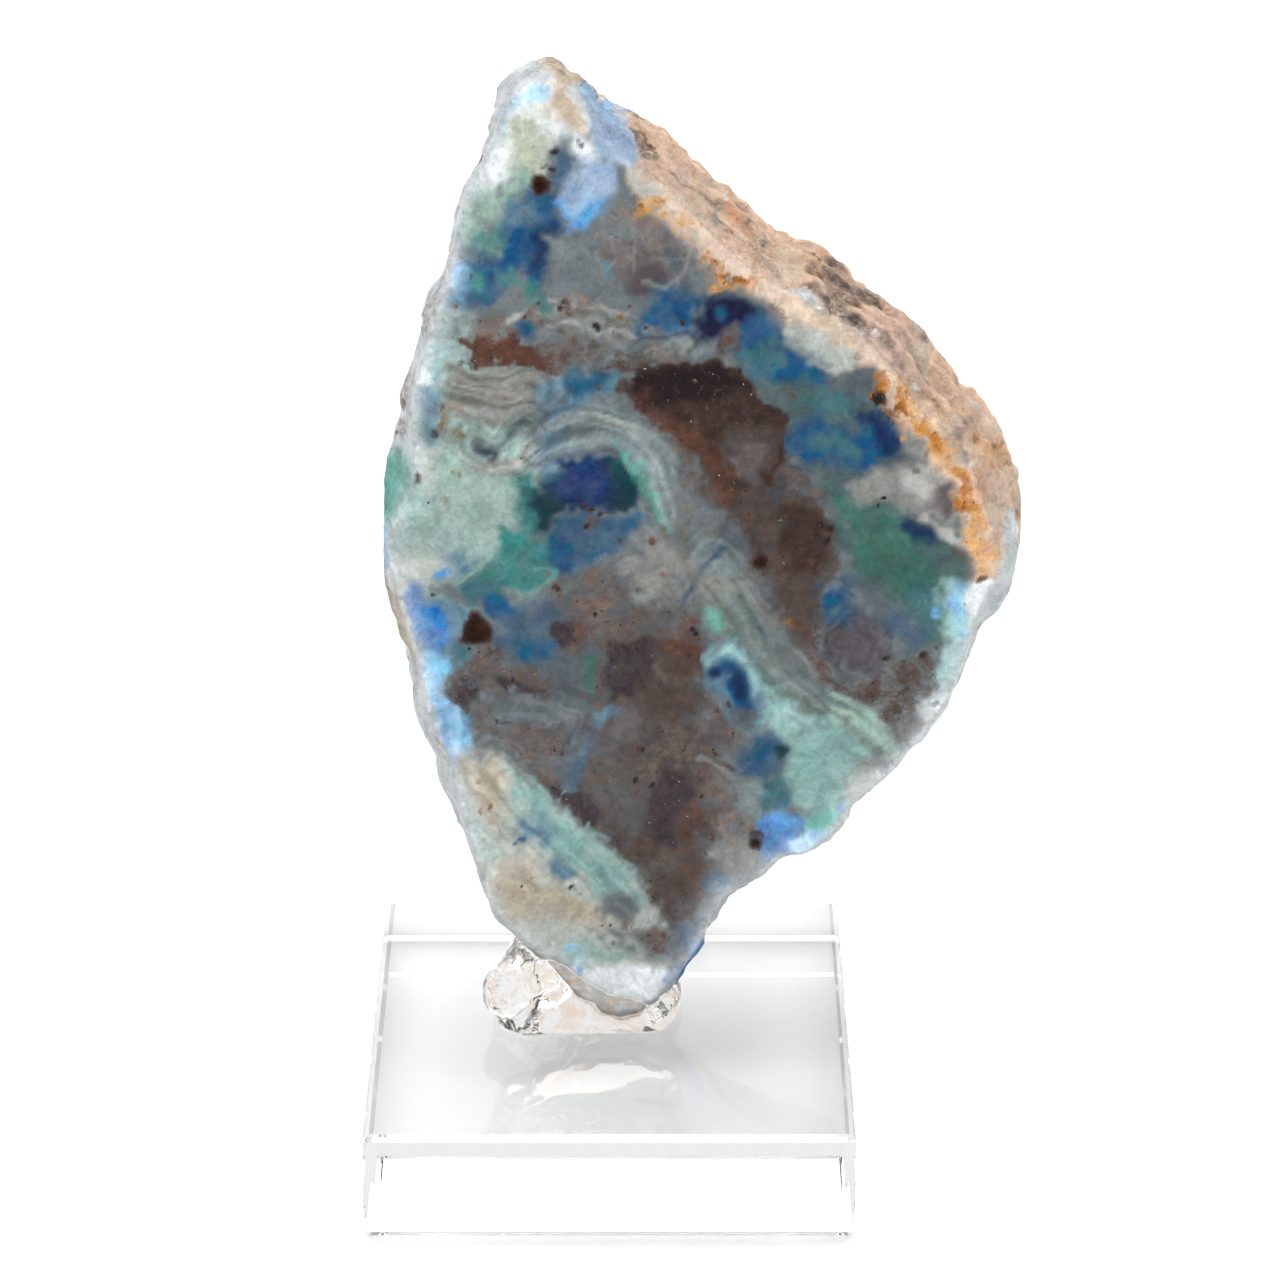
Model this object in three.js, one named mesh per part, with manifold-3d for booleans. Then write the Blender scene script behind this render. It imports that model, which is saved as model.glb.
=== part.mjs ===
// A rough piece of azurite and malachite with one polished face. It leans back a little on a clear
// block, and clear putty holds its narrow lower end. Sizes are in millimetres, +Z is up, and the
// origin is the middle of the block's underside. The polished face looks towards -Y.
import * as THREE from "three";
import { mergeVertices } from "three/addons/utils/BufferGeometryUtils.js";
import Module from "manifold-3d";

const BLOCK_WIDTH = 40;
const BLOCK_DEPTH = 50;
const BLOCK_HEIGHT = 9;
const BLOCK_EDGE = 0.5; // polished bevel round the block
const LEAN = THREE.MathUtils.degToRad(10);
const TIP_OFFSET_Y = -3; // where the polished face's plane meets the stone's lower end
const TIP_CLEARANCE = 1.5; // putty left under the stone
const PUTTY_GAP = 0.3; // kept between the putty and the stone

// The stone is drawn in a frame of its own: u to the right and w up along the polished face,
// and d the depth behind that face. Its outlines turn clockwise as seen from the front.
const FACE_OUTLINE = [
  [-6.0, 78.6], [-3.9, 78.4], [-2.5, 76.8], [-1.2, 74.2], [0.4, 72.5], [2.5, 71.2], [4.7, 69.6],
  [6.5, 67.7], [9.6, 64.6], [13.0, 61.8], [17.0, 59.8], [20.8, 57.2], [24.2, 53.4], [25.4, 51.3],
  [29.4, 47.6], [30.6, 44.0], [32.2, 39.8], [32.4, 37.6], [31.4, 35.6], [30.3, 33.0], [29.7, 30.2],
  [28.6, 27.4], [27.0, 24.8], [22.8, 19.7], [20.2, 17.6], [18.9, 15.5], [16.6, 13.6], [14.4, 13.3],
  [12.4, 11.4], [9.5, 10.0], [8.5, 8.2], [7.9, 6.6], [6.2, 3.9], [4.2, 1.3], [2.4, -0.3],
  [0.0, -0.3], [-2.6, 1.0], [-4.4, 3.0], [-7.6, 6.6], [-9.8, 8.8], [-11.2, 13.4], [-12.9, 19.4],
  [-13.6, 22.4], [-14.9, 25.2], [-16.1, 31.0], [-17.8, 36.2], [-18.5, 38.6], [-18.2, 40.8],
  [-16.2, 44.2], [-15.7, 46.4], [-16.4, 49.8], [-16.3, 53.0], [-14.9, 57.4], [-13.5, 61.2],
  [-12.6, 66.4], [-11.9, 69.0], [-9.4, 73.9], [-8.6, 76.2],
];
const GIRTH_OUTLINE = [
  [-4.8, 80.5], [-3.2, 79.6], [-1.8, 77.4], [-0.4, 76.1], [4.0, 73.7], [6.0, 72.0], [8.0, 69.7],
  [10.0, 68.3], [14.4, 64.7], [17.8, 63.1], [20.0, 60.9], [22.8, 59.0], [25.2, 57.1], [27.6, 54.4],
  [32.0, 49.8], [33.4, 46.9], [34.5, 44.6], [34.9, 41.7], [34.1, 36.9], [32.7, 34.5], [30.7, 32.6],
  [29.9, 30.2], [28.8, 27.4], [27.2, 24.8], [23.0, 19.7], [20.4, 17.5], [19.1, 15.3], [16.7, 13.4],
  [14.5, 13.0], [12.5, 11.0], [9.6, 9.4], [8.6, 7.6], [6.4, 3.4], [4.4, 0.9], [2.6, -0.6],
  [0.0, -0.7], [-2.8, 0.6], [-4.6, 2.6], [-8.0, 6.2], [-10.2, 8.6], [-11.0, 11.6], [-13.3, 18.2],
  [-15.8, 25.2], [-16.5, 28.2], [-18.3, 34.8], [-18.9, 38.0], [-18.9, 40.0], [-18.3, 45.8],
  [-17.3, 50.2], [-17.3, 52.0], [-15.8, 55.8], [-15.3, 58.5], [-14.9, 60.6], [-13.3, 62.4],
  [-12.3, 67.5], [-9.7, 73.0], [-9.5, 75.0], [-9.2, 76.9], [-7.6, 79.2],
];
const OUTLINE_CENTRE = [5, 40];
const CORE = new THREE.Vector3(5, 7, 40); // a point well inside the stone, as u, d, w
const THICKNESS = 23;
const GIRTH_DEPTH = 4.5; // mean depth of the widest section behind the face
const GIRTH_DEPTH_SWING = 2; // deeper towards the upper right, shallower towards the lower left
const GIRTH_DEPTH_TOWARDS = THREE.MathUtils.degToRad(45);
const BACK_SQUARENESS = 2.3;
const AROUND = 150;
const FRONT_STOCK = 3; // stock in front of the face, sawn off
const RIND_RINGS = 7;
const BACK_RINGS = 17;

// Old breaks across the back: a point on each as u, d, w, and the way it faces.
const BREAKS = [
  { at: [-2, 15.5, 62], facing: [-0.1, 0.86, 0.5] },
  { at: [12, 17.5, 56], facing: [0.55, 0.8, 0.3] },
  { at: [2, 15.0, 18], facing: [0.05, 0.84, -0.55] },
  { at: [24, 14.5, 36], facing: [0.72, 0.68, -0.15] },
  { at: [-10, 14.0, 44], facing: [-0.7, 0.7, 0.1] },
  { at: [-8, 12.5, 22], facing: [-0.62, 0.7, -0.35] },
  { at: [4, 20.0, 38], facing: [0.08, 0.99, 0.06] },
];
const BREAK_SOFTNESS = 0.05;

// Ledges of the rind along the upper right: depth behind the face, height and breadth.
const LEDGES = [
  { depth: 1.5, height: 0.45, breadth: 0.7 },
  { depth: 3.4, height: -0.5, breadth: 0.8 },
  { depth: 6.2, height: 0.5, breadth: 1.1 },
];
const LEDGE_TOWARDS = THREE.MathUtils.degToRad(42);
const LEDGE_SPREAD = THREE.MathUtils.degToRad(48);

// Lumps of the rough surface: size across and height of each scale.
const LUMPS = [
  { across: 11, height: 1.5 },
  { across: 5.2, height: 0.85 },
  { across: 2.6, height: 0.5 },
];
const RIND_LUMP_SHARE = 0.7; // of their full height, midway between the two outlines
const BROAD_RIND = 7; // where the girth stands out this far; a narrow rind is smoother
const BACK_LUMP_RINGS = 6; // the lumps grow to full height over this many rings behind the girth

// Flat-sided crystals that show in the rind: middle as u, d, w, radius, stretch and way they lie.
const CRYSTALS = [
  { at: [-1.2, 5.0, 73.3], radius: 3.3, stretch: 1.2, along: [0.62, 0.1, -0.6] },
  { at: [2.4, 7.0, 70.4], radius: 3.4, stretch: 1.1, along: [0.5, 0.6, -0.4] },
  { at: [30.9, 6.6, 41.0], radius: 3.7, stretch: 1.35, along: [0.08, 0.2, -0.97] },
  { at: [18.0, 7.6, 57.6], radius: 3.6, stretch: 1.3, along: [0.5, 0.5, -0.7] },
];

// Open pits in the polished face: middle, radius, depth, corners and turn.
const PITS = [
  { u: -11.1, w: 32.5, radius: 1.9, depth: 1.4, corners: 3, turn: 0.15 },
  { u: -5.7, w: 69.8, radius: 0.75, depth: 1.1, corners: 7, turn: 0 },
  { u: -4.9, w: 71.2, radius: 0.4, depth: 0.6, corners: 6, turn: 0.4 },
  { u: 12.6, w: 38.3, radius: 0.62, depth: 0.9, corners: 7, turn: 0.2 },
  { u: -3.1, w: 10.2, radius: 0.5, depth: 0.6, corners: 6, turn: 0.5 },
  { u: 12.2, w: 14.5, radius: 0.7, depth: 0.5, corners: 8, turn: 0 },
  { u: 22.3, w: 43.5, radius: 0.35, depth: 0.5, corners: 6, turn: 0.3 },
  { u: -1.6, w: 57.8, radius: 0.5, depth: 0.6, corners: 6, turn: 0.9 },
];
const PIT_SLOPE = 0.35;

// The clump of putty: the outline of its foot on the block, how it rises, and its round bulge.
const PUTTY_FOOT = [
  [5.6, -0.6], [4.8, -3.2], [2.6, -4.2], [-1.0, -4.5], [-4.6, -4.4], [-8.0, -4.2], [-9.4, -2.4],
  [-9.6, 0.4], [-8.4, 3.4], [-6.0, 6.0], [-2.6, 7.4], [1.6, 7.2], [4.6, 5.0], [5.8, 2.4],
];
const PUTTY_MIDDLE = [-2.0, 0.6];
const PUTTY_LEAST_HEIGHT = 3.4;
const PUTTY_MOST_HEIGHT = 8.8;
const PUTTY_HIGH_TOWARDS = THREE.MathUtils.degToRad(160); // its left end, beside the stone
const PUTTY_SWELL = 1.06; // widest just above its foot
const PUTTY_RINGS = 9;
const PUTTY_AROUND = 64;
const PUTTY_LUMP = { across: 2.4, height: 0.55 };
const PUTTY_BULGE = { at: [-8.6, -3.0, 12.3], radius: 2.1 };

const COLOURS = {
  stone: { color: 0x5f7f80, roughness: 0.32 },
  putty: { color: 0xf4efe8, roughness: 0.08 },
  clearBlock: { color: 0xf2f7f9, roughness: 0.04 },
};

const wasm = await Module();
wasm.setup();

// A repeatable number from 0 to 1 for a corner of the noise's lattice.
function cornerValue(x, y, z) {
  let h = Math.imul(x, 374761393) ^ Math.imul(y, 668265263) ^ Math.imul(z, 2147483647 - 58);
  h = Math.imul(h ^ (h >>> 13), 1274126177);
  return ((h ^ (h >>> 16)) >>> 0) / 4294967295;
}

const ease = (t) => t * t * (3 - 2 * t);
const mix = (a, b, t) => a + (b - a) * t;

// Smooth noise from -1 to 1.
function noise(x, y, z) {
  const [i, j, k] = [Math.floor(x), Math.floor(y), Math.floor(z)];
  const [s, t, r] = [ease(x - i), ease(y - j), ease(z - k)];
  const edge = (b, c) => mix(cornerValue(i, j + b, k + c), cornerValue(i + 1, j + b, k + c), s);
  return 2 * mix(mix(edge(0, 0), edge(1, 0), t), mix(edge(0, 1), edge(1, 1), t), r) - 1;
}

// An outline as radii about a point inside it: returns a function of the angle.
function radiusOf(outline, middle) {
  const curve = new THREE.CatmullRomCurve3(
    outline.map(([u, w]) => new THREE.Vector3(u - middle[0], w - middle[1], 0)),
    true,
    "centripetal",
  );
  const samples = curve
    .getPoints(outline.length * 12)
    .slice(0, -1)
    .map((p) => ({ angle: Math.atan2(p.y, p.x), radius: Math.hypot(p.x, p.y) }))
    .sort((a, b) => a.angle - b.angle);
  const turn = 2 * Math.PI;
  return (angle) => {
    const wrapped = angle - turn * Math.round(angle / turn);
    const found = samples.findIndex((s) => s.angle > wrapped);
    const next = samples[found < 0 ? 0 : found];
    const last = samples[(found <= 0 ? samples.length : found) - 1];
    const span = (next.angle - last.angle + turn) % turn || turn;
    return mix(last.radius, next.radius, ((wrapped - last.angle + turn) % turn) / span);
  };
}

const faceRadius = radiusOf(FACE_OUTLINE, OUTLINE_CENTRE);
const girthRadius = radiusOf(GIRTH_OUTLINE, OUTLINE_CENTRE);

function angleGap(a, b) {
  return Math.abs(Math.atan2(Math.sin(a - b), Math.cos(a - b)));
}

function girthDepth(angle) {
  return GIRTH_DEPTH + GIRTH_DEPTH_SWING * Math.cos(angle - GIRTH_DEPTH_TOWARDS);
}

function ledgeHeight(angle, depth) {
  const near = Math.max(0, 1 - angleGap(angle, LEDGE_TOWARDS) / LEDGE_SPREAD);
  const sum = LEDGES.reduce(
    (total, l) => total + l.height * Math.exp(-(((depth - l.depth) / l.breadth) ** 2)),
    0,
  );
  return ease(near) * sum;
}

// The smooth, lump-free surface. Step runs from 0 at the sawn stock to RIND_RINGS at the widest
// section, and on to RIND_RINGS + BACK_RINGS at the middle of the back.
function plainPoint(angle, step) {
  const deepest = girthDepth(angle);
  let radius = faceRadius(angle);
  let depth = -FRONT_STOCK;
  if (step > 0 && step <= RIND_RINGS) {
    const share = (step - 1) / (RIND_RINGS - 1);
    depth = deepest * share;
    radius = mix(radius, girthRadius(angle), Math.sin((share * Math.PI) / 2));
    radius += ledgeHeight(angle, depth);
  } else if (step > RIND_RINGS) {
    const turn = ((step - RIND_RINGS) / BACK_RINGS) * (Math.PI / 2);
    depth = deepest + (THICKNESS - deepest) * Math.sin(turn) ** (2 / BACK_SQUARENESS);
    radius = girthRadius(angle) * Math.cos(turn) ** (2 / BACK_SQUARENESS);
    radius += ledgeHeight(angle, depth) * Math.cos(turn);
  }
  return new THREE.Vector3(
    OUTLINE_CENTRE[0] + radius * Math.cos(angle),
    depth,
    OUTLINE_CENTRE[1] + radius * Math.sin(angle),
  );
}

// How far along the ray from CORE through a point the stone ends, at most 1, with soft corners.
function breakShare(ray) {
  let share = 1;
  for (const { at, facing } of BREAKS) {
    const out = new THREE.Vector3(...facing).normalize();
    const rise = out.dot(ray);
    if (rise <= 0) continue;
    const limit = out.dot(new THREE.Vector3(...at).sub(CORE)) / rise;
    const blend = THREE.MathUtils.clamp(0.5 + (0.5 * (share - limit)) / BREAK_SOFTNESS, 0, 1);
    share = mix(share, limit, blend) - BREAK_SOFTNESS * blend * (1 - blend);
  }
  return share;
}

function lumpHeight(p) {
  return LUMPS.reduce(
    (total, { across, height }, scale) =>
      total + height * noise(p.x / across + 9 * scale, p.y / across, p.z / across - 5 * scale),
    0,
  );
}

// The share of their full height that lumps have: none on the two outlines, which carry their own.
function lumpShare(angle, step) {
  if (step <= 1) return 0;
  if (step > RIND_RINGS) return ease(Math.min(1, (step - RIND_RINGS) / BACK_LUMP_RINGS));
  const breadth = (girthRadius(angle) - faceRadius(angle)) / BROAD_RIND;
  const middle = Math.sin((Math.PI * (step - 1)) / (RIND_RINGS - 1));
  return RIND_LUMP_SHARE * middle * THREE.MathUtils.clamp(breadth, 0, 1);
}

function stonePoint(angle, step, grow) {
  const ray = plainPoint(angle, step).sub(CORE);
  if (step > 1) ray.multiplyScalar(breakShare(ray));
  const point = CORE.clone().add(ray);
  const lump = lumpHeight(point) * lumpShare(angle, step);
  const outwards = ray.normalize().multiplyScalar(lump + grow);
  if (step <= 1) outwards.y = 0;
  return point.add(outwards);
}

// A closed body from rings of points, each as many as around, and a point at either end. The rings
// turn clockwise as seen from the end.
function loftSolid(start, points, end, around) {
  const all = [start, ...points, end];
  const triangles = [];
  for (let i = 0; i < around; i++) {
    const j = (i + 1) % around;
    triangles.push(0, 1 + i, 1 + j);
    for (let a = 1; a + around < all.length - 1; a += around) {
      const b = a + around;
      triangles.push(a + i, b + i, b + j, a + i, b + j, a + j);
    }
    const last = all.length - 1 - around;
    triangles.push(last + i, all.length - 1, last + j);
  }
  return solidFrom(all.flatMap((p) => p.toArray()), triangles);
}

function solidFrom(positions, triangles) {
  return new wasm.Manifold(
    new wasm.Mesh({
      numProp: 3,
      vertProperties: Float32Array.from(positions),
      triVerts: Uint32Array.from(triangles),
    }),
  );
}

function solidOf(geometry) {
  const bare = geometry.clone().deleteAttribute("normal").deleteAttribute("uv");
  const merged = mergeVertices(bare, 1e-4);
  return solidFrom(merged.attributes.position.array, merged.index.array);
}

function meshOf(name, solid, { color, roughness }) {
  const { vertProperties, triVerts } = solid.getMesh();
  const geometry = new THREE.BufferGeometry();
  geometry.setAttribute("position", new THREE.BufferAttribute(vertProperties, 3));
  geometry.setIndex(new THREE.BufferAttribute(triVerts, 1));
  geometry.computeVertexNormals();
  const mesh = new THREE.Mesh(geometry, new THREE.MeshStandardMaterial({ color, roughness }));
  mesh.name = name;
  return mesh;
}

// The rough lump before sawing: rings of points from the stock in front to the middle of the back.
function roughLump(grow) {
  const rings = RIND_RINGS + BACK_RINGS;
  const points = [];
  for (let step = 0; step < rings; step++) {
    for (let i = 0; i < AROUND; i++) {
      points.push(stonePoint((2 * Math.PI * i) / AROUND, step, grow));
    }
  }
  const front = new THREE.Vector3(OUTLINE_CENTRE[0], -FRONT_STOCK, OUTLINE_CENTRE[1]);
  return loftSolid(front, points, stonePoint(0, rings, grow), AROUND);
}

// Everything in front of the polished face, as one big block to saw away.
function sawnAway(grow) {
  const reach = 200;
  const block = new THREE.BoxGeometry(reach, reach, reach);
  return solidOf(block.translate(0, -reach / 2 - grow, 0));
}

function crystal({ at, radius, stretch, along }) {
  const lie = new THREE.Quaternion().setFromUnitVectors(
    new THREE.Vector3(0, 1, 0),
    new THREE.Vector3(...along).normalize(),
  );
  const block = new THREE.DodecahedronGeometry(radius).scale(1, stretch, 1);
  return solidOf(block.applyQuaternion(lie).translate(...at));
}

function pit({ u, w, radius, depth, corners, turn }) {
  const [mouth, floor] = [radius * (1 + PIT_SLOPE), radius * (1 - PIT_SLOPE)];
  const cone = new THREE.CylinderGeometry(mouth, floor, depth * 2, corners);
  return solidOf(cone.rotateY(turn).rotateZ(Math.PI).translate(u, 0, w));
}

function stoneSolid() {
  let solid = roughLump(0);
  for (const c of CRYSTALS) solid = solid.add(crystal(c));
  solid = solid.subtract(sawnAway(0));
  for (const p of PITS) solid = solid.subtract(pit(p));
  return solid;
}

// From the stone's own frame to the part's.
const stonePlace = new THREE.Matrix4()
  .makeRotationX(-LEAN)
  .setPosition(0, TIP_OFFSET_Y, BLOCK_HEIGHT + TIP_CLEARANCE);

const puttyFootRadius = radiusOf(PUTTY_FOOT, PUTTY_MIDDLE);

// A point of the putty's surface: share runs from 0 at its foot to 1 at its top.
function puttyPoint(angle, share) {
  const towardsHigh = (1 + Math.cos(angle - PUTTY_HIGH_TOWARDS)) / 2;
  const height = share * mix(PUTTY_LEAST_HEIGHT, PUTTY_MOST_HEIGHT, towardsHigh);
  const dome = Math.sqrt(1 - share ** 3) * mix(1, PUTTY_SWELL, Math.sin(Math.PI * share));
  const reach = puttyFootRadius(angle) * dome;
  const point = new THREE.Vector3(
    PUTTY_MIDDLE[0] + reach * Math.cos(angle),
    PUTTY_MIDDLE[1] + reach * Math.sin(angle),
    BLOCK_HEIGHT + height,
  );
  const { across, height: lump } = PUTTY_LUMP;
  const rise = lump * noise(point.x / across, point.y / across, point.z / across);
  point.x += rise * Math.cos(angle);
  point.y += rise * Math.sin(angle);
  return point;
}

// The clump joined to its bulge, with the stone's place left free.
function puttySolid() {
  const points = [];
  for (let ring = 0; ring < PUTTY_RINGS; ring++) {
    for (let i = 0; i < PUTTY_AROUND; i++) {
      points.push(puttyPoint((-2 * Math.PI * i) / PUTTY_AROUND, ring / PUTTY_RINGS));
    }
  }
  const foot = new THREE.Vector3(...PUTTY_MIDDLE, BLOCK_HEIGHT);
  const top = new THREE.Vector3(...PUTTY_MIDDLE, BLOCK_HEIGHT + PUTTY_LEAST_HEIGHT);
  const clump = loftSolid(foot, points, top, PUTTY_AROUND);
  const bulge = new THREE.SphereGeometry(PUTTY_BULGE.radius, 24, 14).translate(...PUTTY_BULGE.at);
  const stone = roughLump(PUTTY_GAP).subtract(sawnAway(PUTTY_GAP)).transform(stonePlace.toArray());
  const pieces = clump.add(solidOf(bulge)).subtract(stone).decompose();
  return pieces.reduce((largest, p) => (p.volume() > largest.volume() ? p : largest));
}

function blockSolid() {
  const [x, y] = [BLOCK_WIDTH / 2 - BLOCK_EDGE, BLOCK_DEPTH / 2 - BLOCK_EDGE];
  const plan = new THREE.Shape([
    new THREE.Vector2(-x, -y), new THREE.Vector2(x, -y),
    new THREE.Vector2(x, y), new THREE.Vector2(-x, y),
  ]);
  const block = new THREE.ExtrudeGeometry(plan, {
    depth: BLOCK_HEIGHT - 2 * BLOCK_EDGE,
    bevelSize: BLOCK_EDGE,
    bevelThickness: BLOCK_EDGE,
    bevelSegments: 2,
  });
  return solidOf(block.translate(0, 0, BLOCK_EDGE));
}

const stone = meshOf("stone", stoneSolid(), COLOURS.stone);
const leaning = new THREE.Group();
leaning.add(stone);
stonePlace.decompose(leaning.position, leaning.quaternion, leaning.scale);

const specimen = new THREE.Group();
specimen.name = "specimen";
specimen.add(leaning);
specimen.add(meshOf("putty", puttySolid(), COLOURS.putty));
specimen.add(meshOf("clear_block", blockSolid(), COLOURS.clearBlock));

export default specimen;
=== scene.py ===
"""The look of a rough azurite and malachite with one polished face, stuck upright on a clear block.

The CAD solids are the frame. The stone is remade from its solid as a fine mesh with a rough rind,
and its minerals are painted on it patch by patch. Everything on the stone is placed in millimetres
in the stone's own frame: u to the right and w up along the polished face, and the depth behind it.
"""
import math

import bmesh
import bpy
import numpy as np
from mathutils import Matrix, Vector, kdtree


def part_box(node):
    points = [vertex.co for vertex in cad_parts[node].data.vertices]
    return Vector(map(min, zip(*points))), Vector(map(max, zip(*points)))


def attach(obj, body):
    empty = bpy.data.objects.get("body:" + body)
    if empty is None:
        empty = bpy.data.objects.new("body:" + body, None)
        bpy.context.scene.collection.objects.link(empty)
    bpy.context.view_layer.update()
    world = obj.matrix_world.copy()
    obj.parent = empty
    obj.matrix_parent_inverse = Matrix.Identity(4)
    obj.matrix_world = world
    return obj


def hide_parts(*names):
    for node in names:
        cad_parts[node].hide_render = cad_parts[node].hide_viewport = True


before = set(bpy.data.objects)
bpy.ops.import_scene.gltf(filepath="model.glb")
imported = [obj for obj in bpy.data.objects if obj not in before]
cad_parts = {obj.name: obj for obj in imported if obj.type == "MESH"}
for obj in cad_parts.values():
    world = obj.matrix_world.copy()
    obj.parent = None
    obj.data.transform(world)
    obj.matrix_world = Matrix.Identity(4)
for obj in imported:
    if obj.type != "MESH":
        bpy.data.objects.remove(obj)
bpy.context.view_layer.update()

# The stone's frame and the view, in millimetres.
MM = 0.001
LEAN = math.radians(10)
FACE_FOOT = Vector((0, -3, 10.5))  # where u, w and the depth are all 0
VIEW_RISE = math.radians(20)
VIEW_TARGET = Vector((2.5, 2.5, 41.8))
VIEW_DISTANCE = 520
VIEW_WIDTH = 1280 / 12  # across the picture at the target: 12 pixels to the millimetre
SENSOR = 36

# The studio, in metres. A softbox has a place, a width and the brightness of its surface.
FLOOR_REACH = 4
FLOOR_GAP = 0.0002  # the block stands on a film of air, as it does in life
WORLD_STRENGTH = 0.85
SOFTBOXES = [
    ("overhead", (0, 0.35, 0.9), 1.1, 3.3),
    ("front_left", (-0.5, -0.6, 0.6), 0.4, 1.2),
    ("front_right", (0.6, -0.4, 0.35), 0.3, 0.8),
]

# How surface colours turn out in this light, and their limits.
LIGHT_ON_FACE = 1.08  # how bright a white surface facing the camera looks
GLOSS_VEIL = 0.013  # linear brightness that the gloss adds
DARKEST = 0.003
BRIGHTEST = 0.93

# The meshes of the stone and the putty, in millimetres.
STONE_VOXEL = 0.45
PUTTY_VOXEL = 0.25
WELD = 0.01
CLEARANCE = 0.05  # the stone stays this far inside its solid's box, and the putty off the block
FACE_FLATNESS = 0.12  # a point this close to the face's plane belongs to the polished face
FACE_NORMAL = -0.8  # the depth part of a normal that faces the front
LUMP_HEIGHT = 0.4
RIDGE_HEIGHT = 0.3
HOLLOW_DEPTH = 0.5
HOLLOW_LEVELS = (0.45, 0.75)  # of the noise, where a hollow begins and where it is full
LEDGE_HEIGHT = 0.16
LEDGE_SPACING = 2.6
LEDGE_ACROSS = (0.66, 0.75)  # the direction in u and w in which the ledges slope
LEDGE_SLOPE = 0.12  # how far a ledge comes forward for each millimetre in that direction
LEDGE_STRAY = 1.5  # how far it strays from a straight course
ROUGH_DEPTHS = (0.1, 2.2)  # from the smooth edge of the face to the fully rough rind
PUTTY_SWELL = 0.12
PUTTY_DENTS = 0.3

# How the minerals are painted, in millimetres. Unevenness and coverage are shares.
WANDER = 0.8  # how far outlines stray from their course
SOFT_SPREAD = 1.7  # how much softer the soft colours blend than the grains
PATCH_RAGGED = 0.5
VEIN_RAGGED = 0.7
SPOT_RAGGED = 0.5
SPOT_COVER = 0.9
GRAIN_VEIN_COVER = 0.9
SOFT_VEIN_COVER = 0.75
BAND_DRIFT = 0.08  # how fast growth lines change along their course
BAND_FADE = 0.5  # the outer share of their reach where they fade out
RIND_LIFT = 1.6  # the rough rind shades itself, so it is painted this much lighter
RIND_STRAY = 9  # how far colours stray on their way back over the rind
STRAY_DEPTHS = (0.5, 6)  # where they begin to stray, and where they stray fully
FACE_IN_RIND = 0.3  # how much of the face's colour goes on in the rind
# how much frost white goes on in the rind, as painted glow of light through it
FROST_GLOW_IN_RIND = 0.7
PEACH_BEGINS = (43, 50)  # up the diagonal to the right, where the rind's painted glow gives way to peach
PEACH_CLEARS = 0.85  # how much of the painted glow of light is gone there
PEACH_REACH = 6  # how much further back the rind's colours go there
BACK_BEGINS = (2.5, 7)  # depths between which the rind gives way to the back
BACK_STRAY = 4  # how far that limit strays
BACK_BLEND = 0.35  # noise level where a colour of the back covers fully
CRUST_COVER = 0.75
CRUST_EDGE = 0.2  # from the noise level where a crust begins to where it is full
CRUST_PARTS = (0.72, 0.28)  # of broad and fine noise
GLOW = 0.6  # how white the painted glow of light through the polished face's thin edge is
GLOW_WIDTH = 0.8
RIM_GLOW = 0.7  # how white the painted glow of light through the rind beside it is
RIM_GLOW_WIDTH = 0.7
POLISH_ENDS = (0.02, 0.3)  # depths from polished to rough
PIT_REACH = 4  # no pit in the face is deeper

# Fine patterns of the materials: a noise's scale, detail, roughness and distortion, the levels
# that are used of it, and the values that these give.
PATTERNS = {
    "wisps": ((430, 6, 0.62, 0.9), (0.3, 0.72), (0.72, 1.3)),
    "grit": ((2400, 3, 0.6), (0.3, 0.7), (0.93, 1.07)),
    "fibres": ((1300, 7, 0.68, 1.2), (0.3, 0.7), (0.82, 1.18)),
    "hue": ((560, 4, 0.6, 0.8), (0.3, 0.7), (0.468, 0.512)),
    "saturation": ((470, 4, 0.6, 0.5), (0.3, 0.7), (0.78, 1.15)),
    "veil": ((330, 6, 0.6, 1.6), (0.5, 0.8), (0, 0.14)),
    "cells": ((1100, 5, 0.7), (0.32, 0.68), (0.66, 1.36)),
    "rust": ((1700, 3, 0.6), (0.6, 0.68), (0, 0.75)),
    "hazel": ((2600, 2, 0.5), (0.71, 0.77), (0, 0.6)),
    "soot": ((1900, 2, 0.5, 0.4), (0.67, 0.72), (0, 0.85)),
    "cloud": ((3200, 1, 0.5), (0.76, 0.79), (0, 0.8)),
    "crack_shade": ((700, 6, 0.75, 0.6), (0.34, 0.46), (0.78, 1.06)),
    "worn": ((1200, 3), (0.3, 0.7), (0.12, 0.22)),
    "matt": ((800, 3), (0.3, 0.7), (0.3, 0.65)),
    "handling": ((60, 4), (0.45, 0.75), (0, 0.06)),
    "kneading": ((400, 3), (0.35, 0.65), (0.02, 0.1)),
    "floor": ((40, 2), (0.3, 0.7), (0.94, 0.96)),
}
NOISE_MEAN = 0.5
SPECKS = ("rust", "hazel", "soot", "cloud")  # colours that lie as specks on the grains
ORB_SCALE = 520  # round grains, lighter towards their edges
ORB_LEVELS = (0.1, 0.6)
ORB_VALUES = (0.82, 1.1)
GRAIN_NOISES = [((620, 8, 0.72, 0.5), 0.75), ((2100, 4, 0.7), 0.25)]  # each with its part
GRAIN_LEVELS = (0.26, 0.7)  # of that noise, for no grains and for grains all over
GRAIN_EDGE = 0.09  # how sharply grains end, as a noise level
RELIEF_NOISE = (900, 7, 0.75)
RELIEF_HEIGHT = 0.0018  # metres
POLISHED_RELIEF = 0.01  # the share of it that the polish leaves
TAN_WISP_NOISE = (170, 3, 0.55, 2.2)
TAN_WISP_WIDTH = 0.05  # how far from the noise's mean a tan wisp reaches
TAN_WISP_STRENGTH = 0.9
TAN_WISP_COLOUR = (0.9, 0.72, 0.56, 1)
WHITE = (1, 1, 1, 1)
DENT_NOISE = (350, 4, 0.6)
DENT_HEIGHT = 0.0003  # metres
DENT_STRENGTH = 0.2

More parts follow.
